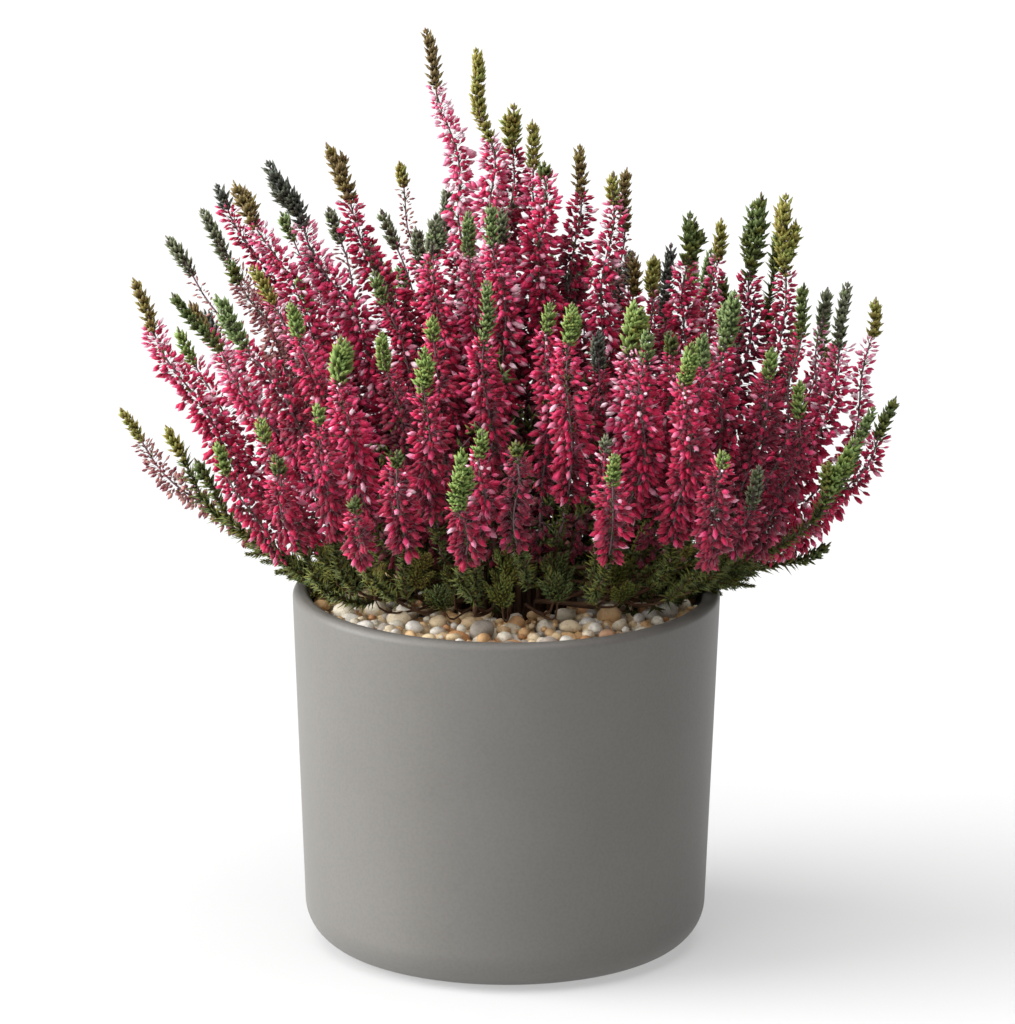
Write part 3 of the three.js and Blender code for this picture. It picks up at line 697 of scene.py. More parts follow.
def bell_form(openness):
    """A bell of four sepals on a narrow foot. Closed, its sepals meet in one point."""
    vertices = [(0, 0, 0)]
    for k in range(4):
        angle = math.pi * (k / 2 + 0.25)
        vertices.append((0.72 * math.cos(angle), 0.72 * math.sin(angle), 0.24))
    for k in range(8):
        angle = math.pi * (k + 1) / 4
        r = 0.62 if k % 2 else 1.0
        vertices.append((r * math.cos(angle), r * math.sin(angle), 0.62 if k % 2 else 0.56))
    foot, ring = 1, 5
    faces = []
    for k in range(4):
        n, ridge, valley, next_ridge = (k + 1) % 4, 2 * k, 2 * k + 1, (2 * k + 2) % 8
        faces.append((0, foot + n, foot + k))
        faces.append((foot + k, foot + n, ring + valley))
        faces.append((foot + k, ring + valley, ring + ridge))
        faces.append((foot + n, ring + next_ridge, ring + valley))
    if not openness:
        vertices.append((0, 0, 1))
        faces += [(ring + k, ring + (k + 1) % 8, 13) for k in range(8)]
        return Form(vertices, faces)
    for k in range(4):
        angle = math.pi * (k / 2 + 0.25)
        vertices.append((openness * math.cos(angle), openness * math.sin(angle), 1))
    vertices.append((0, 0, 0.78))
    tips, middle = 13, 17
    for k in range(4):
        before, ridge, after = ring + (2 * k - 1) % 8, ring + 2 * k, ring + 2 * k + 1
        tip = tips + k
        faces += [(before, ridge, tip), (ridge, after, tip)]
        faces += [(after, middle, tip), (middle, before, tip)]
    return Form(vertices, faces)


def scale_leaf_form():
    """A keeled scale leaf. x is across it and y points away from its stem."""
    vertices = [
        (0, 0, 0), (0.5, -0.05, 0.5), (0, 0.38, 0.54), (-0.5, -0.05, 0.5), (0, -0.2, 0.48),
        (0, 0.06, 1.12),
    ]
    faces = []
    for k in range(4):
        n = (k + 1) % 4
        faces += [(0, 1 + k, 1 + n), (1 + k, 5, 1 + n)]
    return Form(vertices, faces)


def needle_form():
    corners = [(math.cos(a), math.sin(a), 0.0) for a in np.radians([90, 210, 330])]
    return Form([*corners, (0, 0, 1)], [(0, 2, 1), (0, 1, 3), (1, 2, 3), (2, 0, 3)])


def stalk_form():
    """A spike with its point at z 0, on the stem, and its wide end in the bell."""
    corners = [(math.cos(a), math.sin(a), 1.0) for a in np.radians([90, 210, 330])]
    return Form([*corners, (0, 0, 0)], [(0, 1, 2), (1, 0, 3), (2, 1, 3), (0, 2, 3)])


BELLS = [core_bell_form(), plain_bell_form(), bell_form(0), bell_form(0.34), bell_form(0.6)]
OUTER_BELL_SHARES = [0, 0.3, 0.42, 0.18, 0.1]
CORE_DEPTH, PLAIN_DEPTH = 0.38, 0.2  # deeper than these, the bells are plainer
SCALE_LEAF_FORM = scale_leaf_form()
NEEDLE = needle_form()
STALK = stalk_form()

LEAF, BARK = 0, 1  # material indices of a leafy piece


# ---- What stands on a shoot ----

def cross_axes(shoot, along):
    """Two axes across the shoot: side is level, and -other faces out of the bush."""
    out = shoot.tip[:2] - CROWN
    level = unit(np.array([-out[1], out[0], 0.0]))
    side = unit(level - dot(along, level) * along)
    return side, np.cross(along, side)


def around(shoot, d, angle):
    """Centre, outward and along directions at distances from the tip and angles round the stem."""
    centre, along = shoot.path.point(d), shoot.path.tangent(d)
    side, other = cross_axes(shoot, along)
    radial = side * np.cos(angle)[:, None] + other * np.sin(angle)[:, None]
    return centre, radial, along


def part_angles(angle, parting, gap):
    """Moves angles out of the gap round the parting."""
    turn = (angle - parting + math.pi) % (2 * math.pi) - math.pi
    return parting + np.sign(turn) * (gap + (math.pi - gap) * np.abs(turn) / math.pi)


def axes_from(direction, across, roll=None):
    """The x, y, z axes of copies that point along direction, with x nearest to across."""
    x = unit(across - dot(across, direction) * direction)
    y = np.cross(direction, x)
    if roll is not None:
        cos, sin = np.cos(roll)[:, None], np.sin(roll)[:, None]
        x, y = x * cos + y * sin, y * cos - x * sin
    return np.stack([x, y, direction], 1)


def add_bells(shoot, bells, leafy, rng):
    span = shoot.bloom - shoot.leaf_length
    feathery = shoot.bell_tone < DEEPEST_TONE
    thinned = (BACK_BELLS if "back" in shoot.spray else 1) * (FEATHERY if feathery else 1)
    count = int(span * BELLS_PER_MM[shoot.habit] * thinned)
    if count < 1:
        return
    share = (np.arange(count) + rng.uniform(0, 1, count)) / count
    d = shoot.bloom - span * share
    outside = -math.pi / 2 + rng.normal(0, 0.5)
    angle = GOLDEN_ANGLE * np.arange(count) + rng.normal(0, 0.4, count)
    if rng.uniform() < PARTED:
        angle = part_angles(angle, outside, PARTING)
    tufts = 1 + 0.12 * np.sin(d * rng.uniform(0.5, 0.8) + rng.uniform(0, 6))
    centre, radial, along = around(shoot, d, angle)
    depth = rng.uniform(0, 1, count) ** 1.5  # how far inside the raceme
    reach = shoot.reach_at(d) * lerp(1.12, 0.5, depth) * tufts * rng.uniform(0.9, 1.08, count)
    lift = lerp(-0.35, 0.75, share**1.6) + rng.normal(0, 0.28, count)
    down = np.array([0, 0, -0.28])
    direction = unit(radial + along * lift[:, None] + down)
    crown = smoothstep(share, 0.82, 1)  # the small pale bells on top
    length = BELL_LENGTH * rng.uniform(0.7, 1.1, count) * np.clip(1.4 - 0.7 * share, 0.74, 1)
    length = np.minimum(length, 0.85 * reach) / (FEATHERY**0.5 if feathery else 1)
    start = centre + radial * (reach[:, None] - length[:, None] * dot(direction, radial))
    start = start - along * 0.5
    kinds = np.where(depth > PLAIN_DEPTH, 1, rng.choice(len(BELLS), count, p=OUTER_BELL_SHARES))
    kinds = np.where(depth > CORE_DEPTH, 0, kinds)
    tone = shoot.bell_tone + rng.normal(0, 0.045) + rng.normal(0, 0.07, count)
    # Painted shade: bells deeper inside the raceme are given a darker tone.
    tone = tone + 0.14 * crown - 0.3 * depth
    # Some bells are paler: partly their own colour, partly painted highlight of sepals catching the
    # light.
    tone = np.where(rng.uniform(0, 1, count) < PALE_BELLS, tone + PALER, tone)
    # Painted shade: bells low in the bush are given a deeper tone.
    tone = tone + 0.05 - 0.24 * (1 - smoothstep(start[:, 2], 140, 250))  # deeper low in the bush
    tone = np.maximum(tone, DEEPEST_TONE)
    if feathery:
        # Painted shade here too: on a dusky raceme, bells deeper inside are a little darker.
        tone = shoot.bell_tone + rng.normal(0, 0.05, count) + 0.04 * depth
    roll = rng.uniform(0, math.pi, count)
    axes = axes_from(direction, np.cross(radial, along), roll)
    radius = length * BELL_RADIUS * rng.uniform(0.85, 1.12, count) * (1 - 0.3 * crown)
    radius = radius * (1 + 0.3 * depth)
    sizes = np.column_stack([radius, radius, length])
    for kind, form in enumerate(BELLS):
        mine = kinds == kind
        bells.stamp(form, start[mine], axes[mine], sizes[mine], tone[mine])
    stalked = (length_of(start - centre)[:, 0] > 1.5) & (depth < CORE_DEPTH)
    foot = (centre - along * 1.2)[stalked]
    stalk = (start + direction * length[:, None] * 0.12)[stalked] - foot
    stalk_length = length_of(stalk)
    stalk_axes = axes_from(stalk / stalk_length, along[stalked])
    stalk_sizes = np.column_stack([np.full((len(stalk), 2), STALK_RADIUS), stalk_length])
    leafy.stamp(STALK, foot, stalk_axes, stalk_sizes, np.full(len(stalk), BARK_MAUVE), BARK)
    with_bract = np.flatnonzero(rng.uniform(0, 1, count) < BRACTS_PER_BELL)
    bract = unit(radial * 0.8 + along)[with_bract]
    bract_size = rng.uniform(1.8, 3.2, len(with_bract))
    leafy.stamp(
        NEEDLE, centre[with_bract], axes_from(bract, radial[with_bract]),
        np.column_stack([0.36 * np.ones((len(bract), 2)), bract_size]),
        np.clip(shoot.leaf_tone * 0.6 + rng.normal(0, 0.08, len(bract)), 0, 1), LEAF,
    )


def add_scale_leaves(leafy, shoot, path, length, reach, tone, rng, ranks=4):
    """Whorls of overlapping scale leaves over the last stretch of a path."""
    whorls = max(3, round(length / WHORL_PITCH))
    share = np.repeat(np.arange(whorls) / whorls, ranks)
    turn = np.tile(np.arange(ranks) * 2 * math.pi / ranks, whorls)
    turn = turn + np.repeat(np.arange(whorls) * math.pi / ranks, ranks) + rng.normal(0, 0.12, len(turn))
    d = length * (1 - share)
    centre, along = path.point(d), path.tangent(d)
    side, other = cross_axes(shoot, along)
    radial = side * np.cos(turn)[:, None] + other * np.sin(turn)[:, None]
    spread = lerp(0.78, 0.3, share) + rng.normal(0, 0.07, len(turn))
    direction = radial * np.sin(spread)[:, None] + along * np.cos(spread)[:, None]
    size = SCALE_LEAF * reach * leaf_taper(share) * rng.uniform(0.85, 1.1, len(turn))
    across = np.cross(direction, radial)
    width = 0.36 * size
    leafy.stamp(
        SCALE_LEAF_FORM, centre + radial * 0.25, axes_from(direction, across),
        np.column_stack([width, width, size]), tone + rng.normal(0, 0.03, len(turn)), LEAF,
    )


def add_rosettes(leafy, shoot, path, length, reach, tone, rng):
    """A leafy tip: pairs of budded rosettes, each pair square to the last, up to the very tip.
    Each rosette is four pointed scale leaves."""
    pairs = max(2, round(length / (ROSETTE_PITCH * reach / LEAF_REACH)))
    node = np.append(np.repeat(np.arange(pairs), 2), pairs)
    share = node / pairs
    count = len(node)
    turn = node * math.pi / 2 + math.pi * (np.arange(count) % 2) + rng.normal(0, 0.22, count)
    out = reach * leaf_taper(share) * rng.uniform(0.85, 1.06, count)
    splay = np.radians(lerp(48, 22, share**2)) + rng.normal(0, 0.07, count)
    long = np.minimum(out / np.sin(splay), 1.45 * reach)
    splay[-1], long[-1] = 0.02, 0.9 * reach
    d = length * (1 - share) + long * np.cos(splay)
    centre, along = path.point(d), path.tangent(d)
    side, other = cross_axes(shoot, along)
    radial = side * np.cos(turn)[:, None] + other * np.sin(turn)[:, None]
    axis = radial * np.sin(splay)[:, None] + along * np.cos(splay)[:, None]
    across = np.cross(axis, radial)
    across = unit(np.where(length_of(across) < 1e-3, side, across))
    back = np.cross(across, axis)
    tones = tone + rng.normal(0, 0.025, count)
    for lean, start, end in (
        (0 * axis, 0.38, 1.0), (0.5 * across, 0.2, 0.86), (-0.5 * across, 0.2, 0.86),
        (-0.5 * back, 0.1, 0.72),
    ):
        direction = unit(axis + lean)
        size = long * (end - start) * rng.uniform(0.92, 1.06, count)
        width = 0.58 * size
        leafy.stamp(
            SCALE_LEAF_FORM, centre + axis * (long * start)[:, None],
            axes_from(direction, across), np.column_stack([width, width, size]),
            tones + rng.normal(0, 0.015, count), LEAF,
        )


def leaves_end(shoot):
    """How far from the tip the lowest leaves stand, just over the gravel."""
    low = shoot.path.length
    while low > LEAST_LEAVES:
        _, y, z = shoot.path.point(low)
        if z > FAN_Z + FRONT_CLEAR * smoothstep(-y, -10, 10):
            break
        low -= 1
    return low


def add_branchlets(leafy, shoot, count, first, last, length, reach, splay, rng, sides=None,
                   tone=None):
    """Short leafy side shoots along the stretch from first to last, measured from the tip. They
    take the sides, which are angles round the stem, by turns."""
    for i in range(count):
        d = lerp(first, last, (i + 0.5) / count)
        angle = sides[i % len(sides)] if sides else rng.uniform(0, 2 * math.pi)
        angle += rng.normal(0, 0.25)
        centre, radial, along = around(shoot, np.array([d]), np.array([angle]))
        centre, radial, along = centre[0], radial[0], along[0]
        long = length * rng.uniform(0.75, 1.1) * (0.6 + 0.4 * (i + 1) / count)
        points = [
            centre,
            centre + long * 0.5 * unit(radial * splay + along),
            centre + long * unit(radial * splay * 0.75 + along * 1.1),
        ]
        path = Path(points)
        shade = (shoot.leaf_tone if tone is None else tone) + rng.normal(0, 0.04)
        cover = add_scale_leaves if sides else add_rosettes
        cover(leafy, shoot, path, path.length, reach, shade, rng)
        add_stem(leafy, shoot, path, 0.35, 0.2, rng, sides=3)


def add_needles(leafy, shoot, rng):
    """Sparse needles on the bare stem under the bells, down to the gravel."""
    low = max(leaves_end(shoot), shoot.bloom)
    count = int((low - shoot.bloom) * NEEDLES_PER_MM)
    if count < 1:
        return
    d = rng.uniform(shoot.bloom, low, count)
    outside = smoothstep(length_of(shoot.path.point(d)[:, :2])[:, 0], 35, 60)
    d = d[rng.uniform(0.4, 1, count) < 0.5 + 0.5 * outside]
    outside = smoothstep(length_of(shoot.path.point(d)[:, :2])[:, 0], 35, 60)
    count = len(d)
    centre, radial, along = around(shoot, d, rng.uniform(0, 2 * math.pi, count))
    direction = unit(radial + along * rng.uniform(0.3, 1.2, count)[:, None])
    size = NEEDLE_LENGTH * rng.uniform(0.6, 1.2, count) * lerp(0.85, 1.15, outside)
    leafy.stamp(
        NEEDLE, centre, axes_from(direction, np.cross(direction, along)),
        np.column_stack([np.full((count, 2), NEEDLE_RADIUS), size]),
        np.clip(lerp(0.46, 0.5, outside) + rng.normal(0, 0.05, count), 0, 1), LEAF,
    )


def add_painted_shade_bells(bells, shoot, rng):
    """Bells round the bare stem inside the bush, which close the gaps between racemes; their deepest
    tone is painted shade.
    """
    low = shoot.path.length
    while low > shoot.bloom and shoot.path.point(low)[2] < SHADE_BELLS_LOWEST:
        low -= 1
    if low <= shoot.bloom:
        return
    d = rng.uniform(shoot.bloom, low, int((low - shoot.bloom) * SHADE_BELLS_PER_MM))
    d = d[length_of(shoot.path.point(d)[:, :2])[:, 0] < SHADE_BELLS_RADIUS]
    count = len(d)
    centre, radial, along = around(shoot, d, rng.uniform(0, 2 * math.pi, count))
    direction = unit(radial + along * rng.normal(0, 0.3, count)[:, None] + (0, 0, -0.4))
    length = BELL_LENGTH * rng.uniform(0.7, 1.05, count)
    start = centre + radial * rng.uniform(0.4, 2.6, count)[:, None]
    radius = length * BELL_RADIUS * 1.2
    # Painted shade: these bells take the deepest tone.
    bells.stamp(
        BELLS[0], start, axes_from(direction, np.cross(radial, along)),
        np.column_stack([radius, radius, length]),
        np.clip(DEEPEST_TONE + rng.normal(0, 0.03, count), 0, 1),
    )


def add_old_twigs(leafy, shoot, rng):
    """Dry twigs with brown leaves on the bare stem, which make the inside of the bush dark."""
    low = shoot.path.length
    while low > shoot.bloom and shoot.path.point(low)[2] < OLD_TWIG_LOWEST:
        low -= 1
    first = max(shoot.leaf_length, shoot.bloom - OLD_TWIG_AMONG)
    count = int((low - first) * OLD_TWIGS_PER_MM)
    places = rng.uniform(first, max(low, first), count)
    behind = shoot.tip[1] > 30
    most = OLD_TWIG_RADIUS_BEHIND if behind else OLD_TWIG_RADIUS
    inside = length_of(shoot.path.point(places)[:, :2])[:, 0] < most
    for d in places[inside]:
        angle = rng.uniform(0, 2 * math.pi)
        centre, radial, along = around(shoot, np.array([d]), np.array([angle]))
        centre, radial, along = centre[0], radial[0], along[0]
        long = OLD_TWIG_LENGTH * rng.uniform(0.6, 1.15)
        heading = unit(radial + along * rng.uniform(0.1, 1.1))
        bent = unit(heading + along * 0.5)
        path = Path([centre, centre + 0.5 * long * heading, centre + long * 0.5 * (heading + bent)])
        leaves = int(OLD_TWIG_LEAVES * long / OLD_TWIG_LENGTH)
        at = rng.uniform(0, long * 0.9, leaves)
        foot, way = path.point(at), path.tangent(at)
        turned = unit(rng.normal(0, 1, (leaves, 3)))
        direction = unit(way * 0.9 + turned)
        size = rng.uniform(3.2, 5.8, leaves)
        leafy.stamp(
            NEEDLE, foot, axes_from(direction, np.cross(direction, way)),
            np.column_stack([np.full((leaves, 2), OLD_TWIG_LEAF_RADIUS), size]),
            np.clip(0.47 + rng.normal(0, 0.06, leaves), 0, 1), LEAF,
        )
        add_stem(leafy, shoot, path, 0.4, 0.2, rng, sides=3)


def waver(shoot, rng):
    """Lets a shoot sway a little about its settled line, except near its root and its tip."""
    d = np.linspace(0, shoot.path.length, round(shoot.path.length / STEM_STEP))
    centre, along = shoot.path.point(d), shoot.path.tangent(d)
    free = smoothstep(shoot.path.length - d, 20, 70) * smoothstep(d, 0, 25)
    for axis in cross_axes(shoot, along):
        sway = np.sin(2 * math.pi * d / rng.uniform(*WAVER_LENGTHS) + rng.uniform(0, 2 * math.pi))
        centre = centre + axis * (WAVER * free * sway)[:, None]
    shoot.path = Path(centre[::-1])


def add_stem(leafy, shoot, path, thick, thin, rng, sides=STEM_SIDES):
    """A closed, slightly knobbly tube over the whole of a path."""
    rings = max(3, round(path.length / STEM_STEP))
    d = np.linspace(path.length, 0.4, rings)
    share = np.linspace(0, 1, rings)
    centre, along = path.point(d), path.tangent(d)
    side, other = cross_axes(shoot, along)
    radius = lerp(thin, thick, (1 - share) ** 2) * rng.uniform(0.88, 1.12, rings)
    angle = np.arange(sides) * 2 * math.pi / sides
    ring = (
        side[:, None] * np.cos(angle)[None, :, None] + other[:, None] * np.sin(angle)[None, :, None]
    )
    vertices = (centre[:, None] + ring * radius[:, None, None]).reshape(-1, 3)
    ends = np.stack([path.point(path.length), path.point(0)])
    mauve = smoothstep(np.append(vertices[:, 2], ends[:, 2]), 130, 165)
    tone = lerp(BARK_BROWN, BARK_MAUVE, mauve)
    around_tone = np.append(np.tile(np.where(np.arange(sides) % 2, 0.03, -0.03), rings), [0, 0])
    along_stem = np.append(np.repeat(share, sides), [0, 1])
    faces = tube_faces(rings, sides)
    leafy.add(np.concatenate([vertices, ends]), faces, tone + around_tone, along_stem, BARK)


def dress_shoot(shoot, bells, leafy, rng):
    waver(shoot, rng)
    thick = STEM_THICK["root" if shoot.main is None else "side"]
    add_stem(leafy, shoot, shoot.path, thick, STEM_THICK["tip"], rng)
    if shoot.habit == "foot":
        leafy_to = min(leaves_end(shoot), shoot.leaf_length + 4)
        add_scale_leaves(leafy, shoot, shoot.path, leafy_to, 2.9, shoot.leaf_tone, rng)
        add_branchlets(leafy, shoot, 7, 2.5, leafy_to, 9.5, 2.6, 1.0, rng, LEVEL_SIDES)
        return
    add_rosettes(
        leafy, shoot, shoot.path, shoot.leaf_length, shoot.leaf_reach, shoot.leaf_tone, rng
    )
    if shoot.leaf_reach >= 3.8:
        extra = round((shoot.leaf_reach - 3.3) * 3.2)
        add_branchlets(
            leafy, shoot, extra, 0.5 * shoot.leaf_length, shoot.leaf_length,
            0.6 * shoot.leaf_length, 0.85 * shoot.leaf_reach, 0.55, rng,
        )
    if shoot.habit in BELL_REACH:
        add_bells(shoot, bells, leafy, rng)
        if shoot.tip[1] > -60:
            add_painted_shade_bells(bells, shoot, rng)
    add_needles(leafy, shoot, rng)
    if shoot.tip[1] > -60:
        add_old_twigs(leafy, shoot, rng)
    if "low" in shoot.spray and abs(shoot.tip[0]) > 90:
        add_branchlets(
            leafy, shoot, LOW_BRANCHLETS, max(shoot.bloom - 4, 0.55 * shoot.path.length),
            leaves_end(shoot), 12.5, 2.7, 1.3, rng, LOWER_SIDES, LEAF_TONES["dark"],
        )


# ---- Materials ----

class Nodes:
    """A material's node tree, with a Principled shader whose plain numbers are set at once."""

    def __init__(self, name, **numbers):
        self.material = bpy.data.materials.new(name)
        self.material.use_nodes = True
        self.tree = self.material.node_tree
        self.tree.nodes.clear()
        self.shader = self.add("ShaderNodeBsdfPrincipled")
        output = self.add("ShaderNodeOutputMaterial")
        self.link(self.shader.outputs[0], output.inputs["Surface"])
        for socket, value in numbers.items():
            self.shader.inputs[socket.replace("_", " ")].default_value = value

    def add(self, kind, inputs=None, **settings):
        node = self.tree.nodes.new(kind)
        for name, value in settings.items():
            setattr(node, name, value)
        for key, value in (inputs or {}).items():
            if isinstance(value, bpy.types.NodeSocket):
                self.link(value, node.inputs[key])
            else:
                node.inputs[key].default_value = value
        return node

    def link(self, output, socket):
        self.tree.links.new(output, socket)

    def attribute(self, name):
        return self.add("ShaderNodeAttribute", attribute_name=name).outputs["Fac"]

    def math(self, operation, *values, clamp=False):
        inputs = dict(enumerate(values))
        return self.add("ShaderNodeMath", inputs, operation=operation, use_clamp=clamp).outputs[0]

    def ramp(self, factor, stops):
        node = self.add("ShaderNodeValToRGB", {"Fac": factor})
        elements = node.color_ramp.elements
        while len(elements) < len(stops):
            elements.new(0.5)
        for element, (position, colour) in zip(elements, stops):
            element.position = position
            element.color = (*colour, 1) if isinstance(colour, tuple) else (colour,) * 3 + (1,)
        return node.outputs["Color"]

    def noise(self, scale, detail=3, roughness=0.55):
        place = self.add("ShaderNodeTexCoord").outputs["Object"]
        inputs = {"Vector": place, "Scale": scale, "Detail": detail, "Roughness": roughness}
        return self.add("ShaderNodeTexNoise", inputs).outputs["Fac"]

    def mix(self, factor, a, b, blend="MIX"):
        node = self.add("ShaderNodeMix", data_type="RGBA", blend_type=blend)
        for key, value in ((0, factor), (6, a), (7, b)):
            if isinstance(value, bpy.types.NodeSocket):
                self.link(value, node.inputs[key])
            else:
                node.inputs[key].default_value = (*value, 1) if isinstance(value, tuple) else value
        return node.outputs[2]

    def bump(self, height, strength, distance):
        inputs = {"Height": height, "Strength": strength, "Distance": distance}
        return self.add("ShaderNodeBump", inputs).outputs["Normal"]

    def feed(self, **sockets):
        for socket, output in sockets.items():
            self.link(output, self.shader.inputs[socket.replace("_", " ")])
        return self.material


def linear(red, green, blue):
    """A colour as a screen gives it, 0 to 255, in the linear numbers that shaders take."""
    def one(c):
        c /= 255
        return c / 12.92 if c <= 0.04045 else ((c + 0.055) / 1.055) ** 2.4
    return one(red), one(green), one(blue)


def bell_material():
    """Petals: the tone runs from dusky through crimson to blush, and paler towards the sepals'
    tips. The foot of each bell is painted darker, as painted shade."""
    n = Nodes("heather_bells", Roughness=0.5, Specular_IOR_Level=0.3, Sheen_Weight=0.2,
              Sheen_Roughness=0.4)
    along = n.attribute("along")
    tip = n.math("POWER", along, 3.0)
    tone = n.math("MULTIPLY_ADD", tip, 0.17, n.attribute("tone"))
    colour = n.ramp(tone, [
        (0.0, linear(196, 154, 144)), (0.1, linear(160, 100, 98)), (0.17, linear(104, 30, 50)),
        (0.36, linear(150, 14, 54)), (0.52, linear(200, 26, 78)), (0.66, linear(216, 62, 114)),
        (0.82, linear(228, 146, 174)), (1.0, linear(242, 214, 224)),
    ])
    # Painted shade: each bell is darker towards its foot.
    foot = n.ramp(along, [(0.0, 0.55), (0.35, 1.0)])
    return n.feed(Base_Color=n.mix(1.0, colour, foot, "MULTIPLY"))


def leaf_material():
    """Scale leaves and needles: the tone runs from blackish through grey-green, dark and fresh
    green to olive and brown, and each leaf is painted darker at its foot and lighter towards its tip,
    as painted shade and light."""
    n = Nodes("heather_leaves", Roughness=0.55, Specular_IOR_Level=0.35)
    colour = n.ramp(n.attribute("tone"), [
        (0.02, linear(72, 76, 68)), (0.2, linear(100, 104, 80)), (0.34, linear(110, 130, 76)),
        (0.46, linear(70, 82, 36)), (0.56, linear(112, 112, 40)), (0.68, linear(118, 144, 76)),
        (0.84, linear(134, 124, 54)), (0.98, linear(112, 94, 58)),
    ])
    # Painted light and shade: each leaf is darker at its foot and lighter at its tip.
    shade = n.ramp(n.attribute("along"), [(0.0, 0.38), (0.5, 0.86), (1.0, 1.36)])
    return n.feed(Base_Color=n.mix(1.0, colour, shade, "MULTIPLY"))


def bark_material():
    """Twigs: brown wood at the foot and mauve-grey stems among the bells."""
    n = Nodes("heather_bark", Roughness=0.75, Specular_IOR_Level=0.25)
    colour = n.ramp(n.attribute("tone"), [
        (0.0, linear(70, 50, 38)), (0.3, linear(108, 78, 56)), (0.7, linear(120, 90, 98)),
        (1.0, linear(146, 116, 126)),
    ])
    return n.feed(Base_Color=colour)


def ceramic_material():
    """Satin stoneware: warm grey with faint clouds and fine specks under an orange-peel skin."""
    n = Nodes("satin_ceramic", Specular_IOR_Level=0.25, Coat_Weight=0.02, Coat_Roughness=0.35)
    clouds = n.noise(14, 4)
    grain = n.noise(900, 2)
    grey = n.ramp(clouds, [(0.3, linear(112, 110, 106)), (0.7, linear(118, 116, 112))])
    speck = n.ramp(grain, [(0.35, 0.93), (0.6, 1.0)])
    skin = n.math("MULTIPLY_ADD", grain, 0.4, n.noise(160, 3))
    return n.feed(
        Base_Color=n.mix(1.0, grey, speck, "MULTIPLY"),
        Roughness=n.add("ShaderNodeMapRange", {"Value": clouds, 3: 0.4, 4: 0.52}).outputs[0],
        Normal=n.bump(skin, 0.12, 0.0004),
    )


def stone_material():
    """Mixed gravel: the tone of each stone runs from dark grey through rust and tan to white."""
    n = Nodes("gravel_stones", Specular_IOR_Level=0.4)
    stone = n.ramp(n.attribute("tone"), [
        (0.0, linear(134, 126, 116)), (0.14, linear(182, 172, 160)), (0.28, linear(202, 148, 100)),
        (0.44, linear(226, 184, 132)), (0.6, linear(236, 212, 170)), (0.78, linear(242, 234, 214)),
        (1.0, linear(240, 236, 228)),
    ])
    veins = n.noise(420, 5, 0.65)
    fleck = n.noise(1500, 3)
    shade = n.ramp(veins, [(0.32, 0.8), (0.5, 1.0), (0.7, 1.12)])
    dots = n.ramp(fleck, [(0.36, 0.8), (0.44, 1.0)])
    colour = n.mix(1.0, n.mix(0.8, stone, shade, "MULTIPLY"), dots, "MULTIPLY")
    height = n.math("MULTIPLY_ADD", fleck, 0.3, veins)
    return n.feed(
        Base_Color=colour,
        Roughness=n.add("ShaderNodeMapRange", {"Value": veins, 3: 0.5, 4: 0.8}).outputs[0],
        Normal=n.bump(height, 0.35, 0.0005),
    )


def compost_material():
    """Dark crumbs of bark and peat."""
    n = Nodes("peat_compost", Roughness=0.95, Specular_IOR_Level=0.2)
    crumbs = n.noise(700, 6, 0.7)
    colour = n.ramp(crumbs, [
        (0.3, linear(24, 17, 13)), (0.55, linear(58, 42, 31)), (0.75, linear(98, 72, 50)),
    ])
    return n.feed(Base_Color=colour, Normal=n.bump(crumbs, 0.8, 0.001))


# ---- The pot, the gravel and the compost ----

POT_SEGMENTS = 192
WALL_LEAN = (POT_TOP_RADIUS - POT_FOOT_RADIUS) / (POT_HEIGHT - FOOT_ROUND)


def outer_radius(z):
    return POT_FOOT_RADIUS + WALL_LEAN * (z - FOOT_ROUND)


def inner_radius(z):
    return outer_radius(z) - POT_WALL


def arc(cx, cz, radius, start, end, steps):
    angles = np.radians(np.linspace(start, end, steps + 1))
    return [(cx + radius * math.cos(a), cz + radius * math.sin(a)) for a in angles]


def lathe(profile, segments, relief=None):
    """Vertices and faces of a closed solid of revolution. The profile runs from the axis to the
    axis; relief(x, y, z) gives what is added to z."""
    (_, bottom), *middle, (_, top) = profile
    angle = np.arange(segments) * 2 * math.pi / segments
    rings = [np.column_stack([r * np.cos(angle), r * np.sin(angle), np.full(segments, z)])
             for r, z in middle]
    vertices = np.concatenate([*rings, [[0, 0, bottom], [0, 0, top]]])
    if relief:
        vertices[:, 2] += relief(*vertices.T)
    return vertices, tube_faces(len(middle), segments)


def pot_profile():
    lip_z, inner_z = POT_HEIGHT - LIP_ROUND, POT_FLOOR + INNER_ROUND
    foot = arc(POT_FOOT_RADIUS - FOOT_ROUND, FOOT_ROUND, FOOT_ROUND, -90, 0, 16)
    lip = arc(outer_radius(lip_z) - LIP_ROUND, lip_z, LIP_ROUND, 0, 90, 8)
    lip += arc(inner_radius(lip_z) + LIP_ROUND, lip_z, LIP_ROUND, 90, 180, 8)
    inside = arc(inner_radius(inner_z) - INNER_ROUND, inner_z, INNER_ROUND, 0, -90, 8)
    wall = [(outer_radius(z), z) for z in np.linspace(FOOT_ROUND, lip_z, 9)[1:-1]]
    return [(0, 0), (20, 0), *foot, *wall, *lip, *inside, (20, POT_FLOOR), (0, POT_FLOOR)]


def dress_pot(material):
    vertices, faces = lathe(pot_profile(), POT_SEGMENTS)
    return simple_object("ceramic_pot", vertices, faces, material)


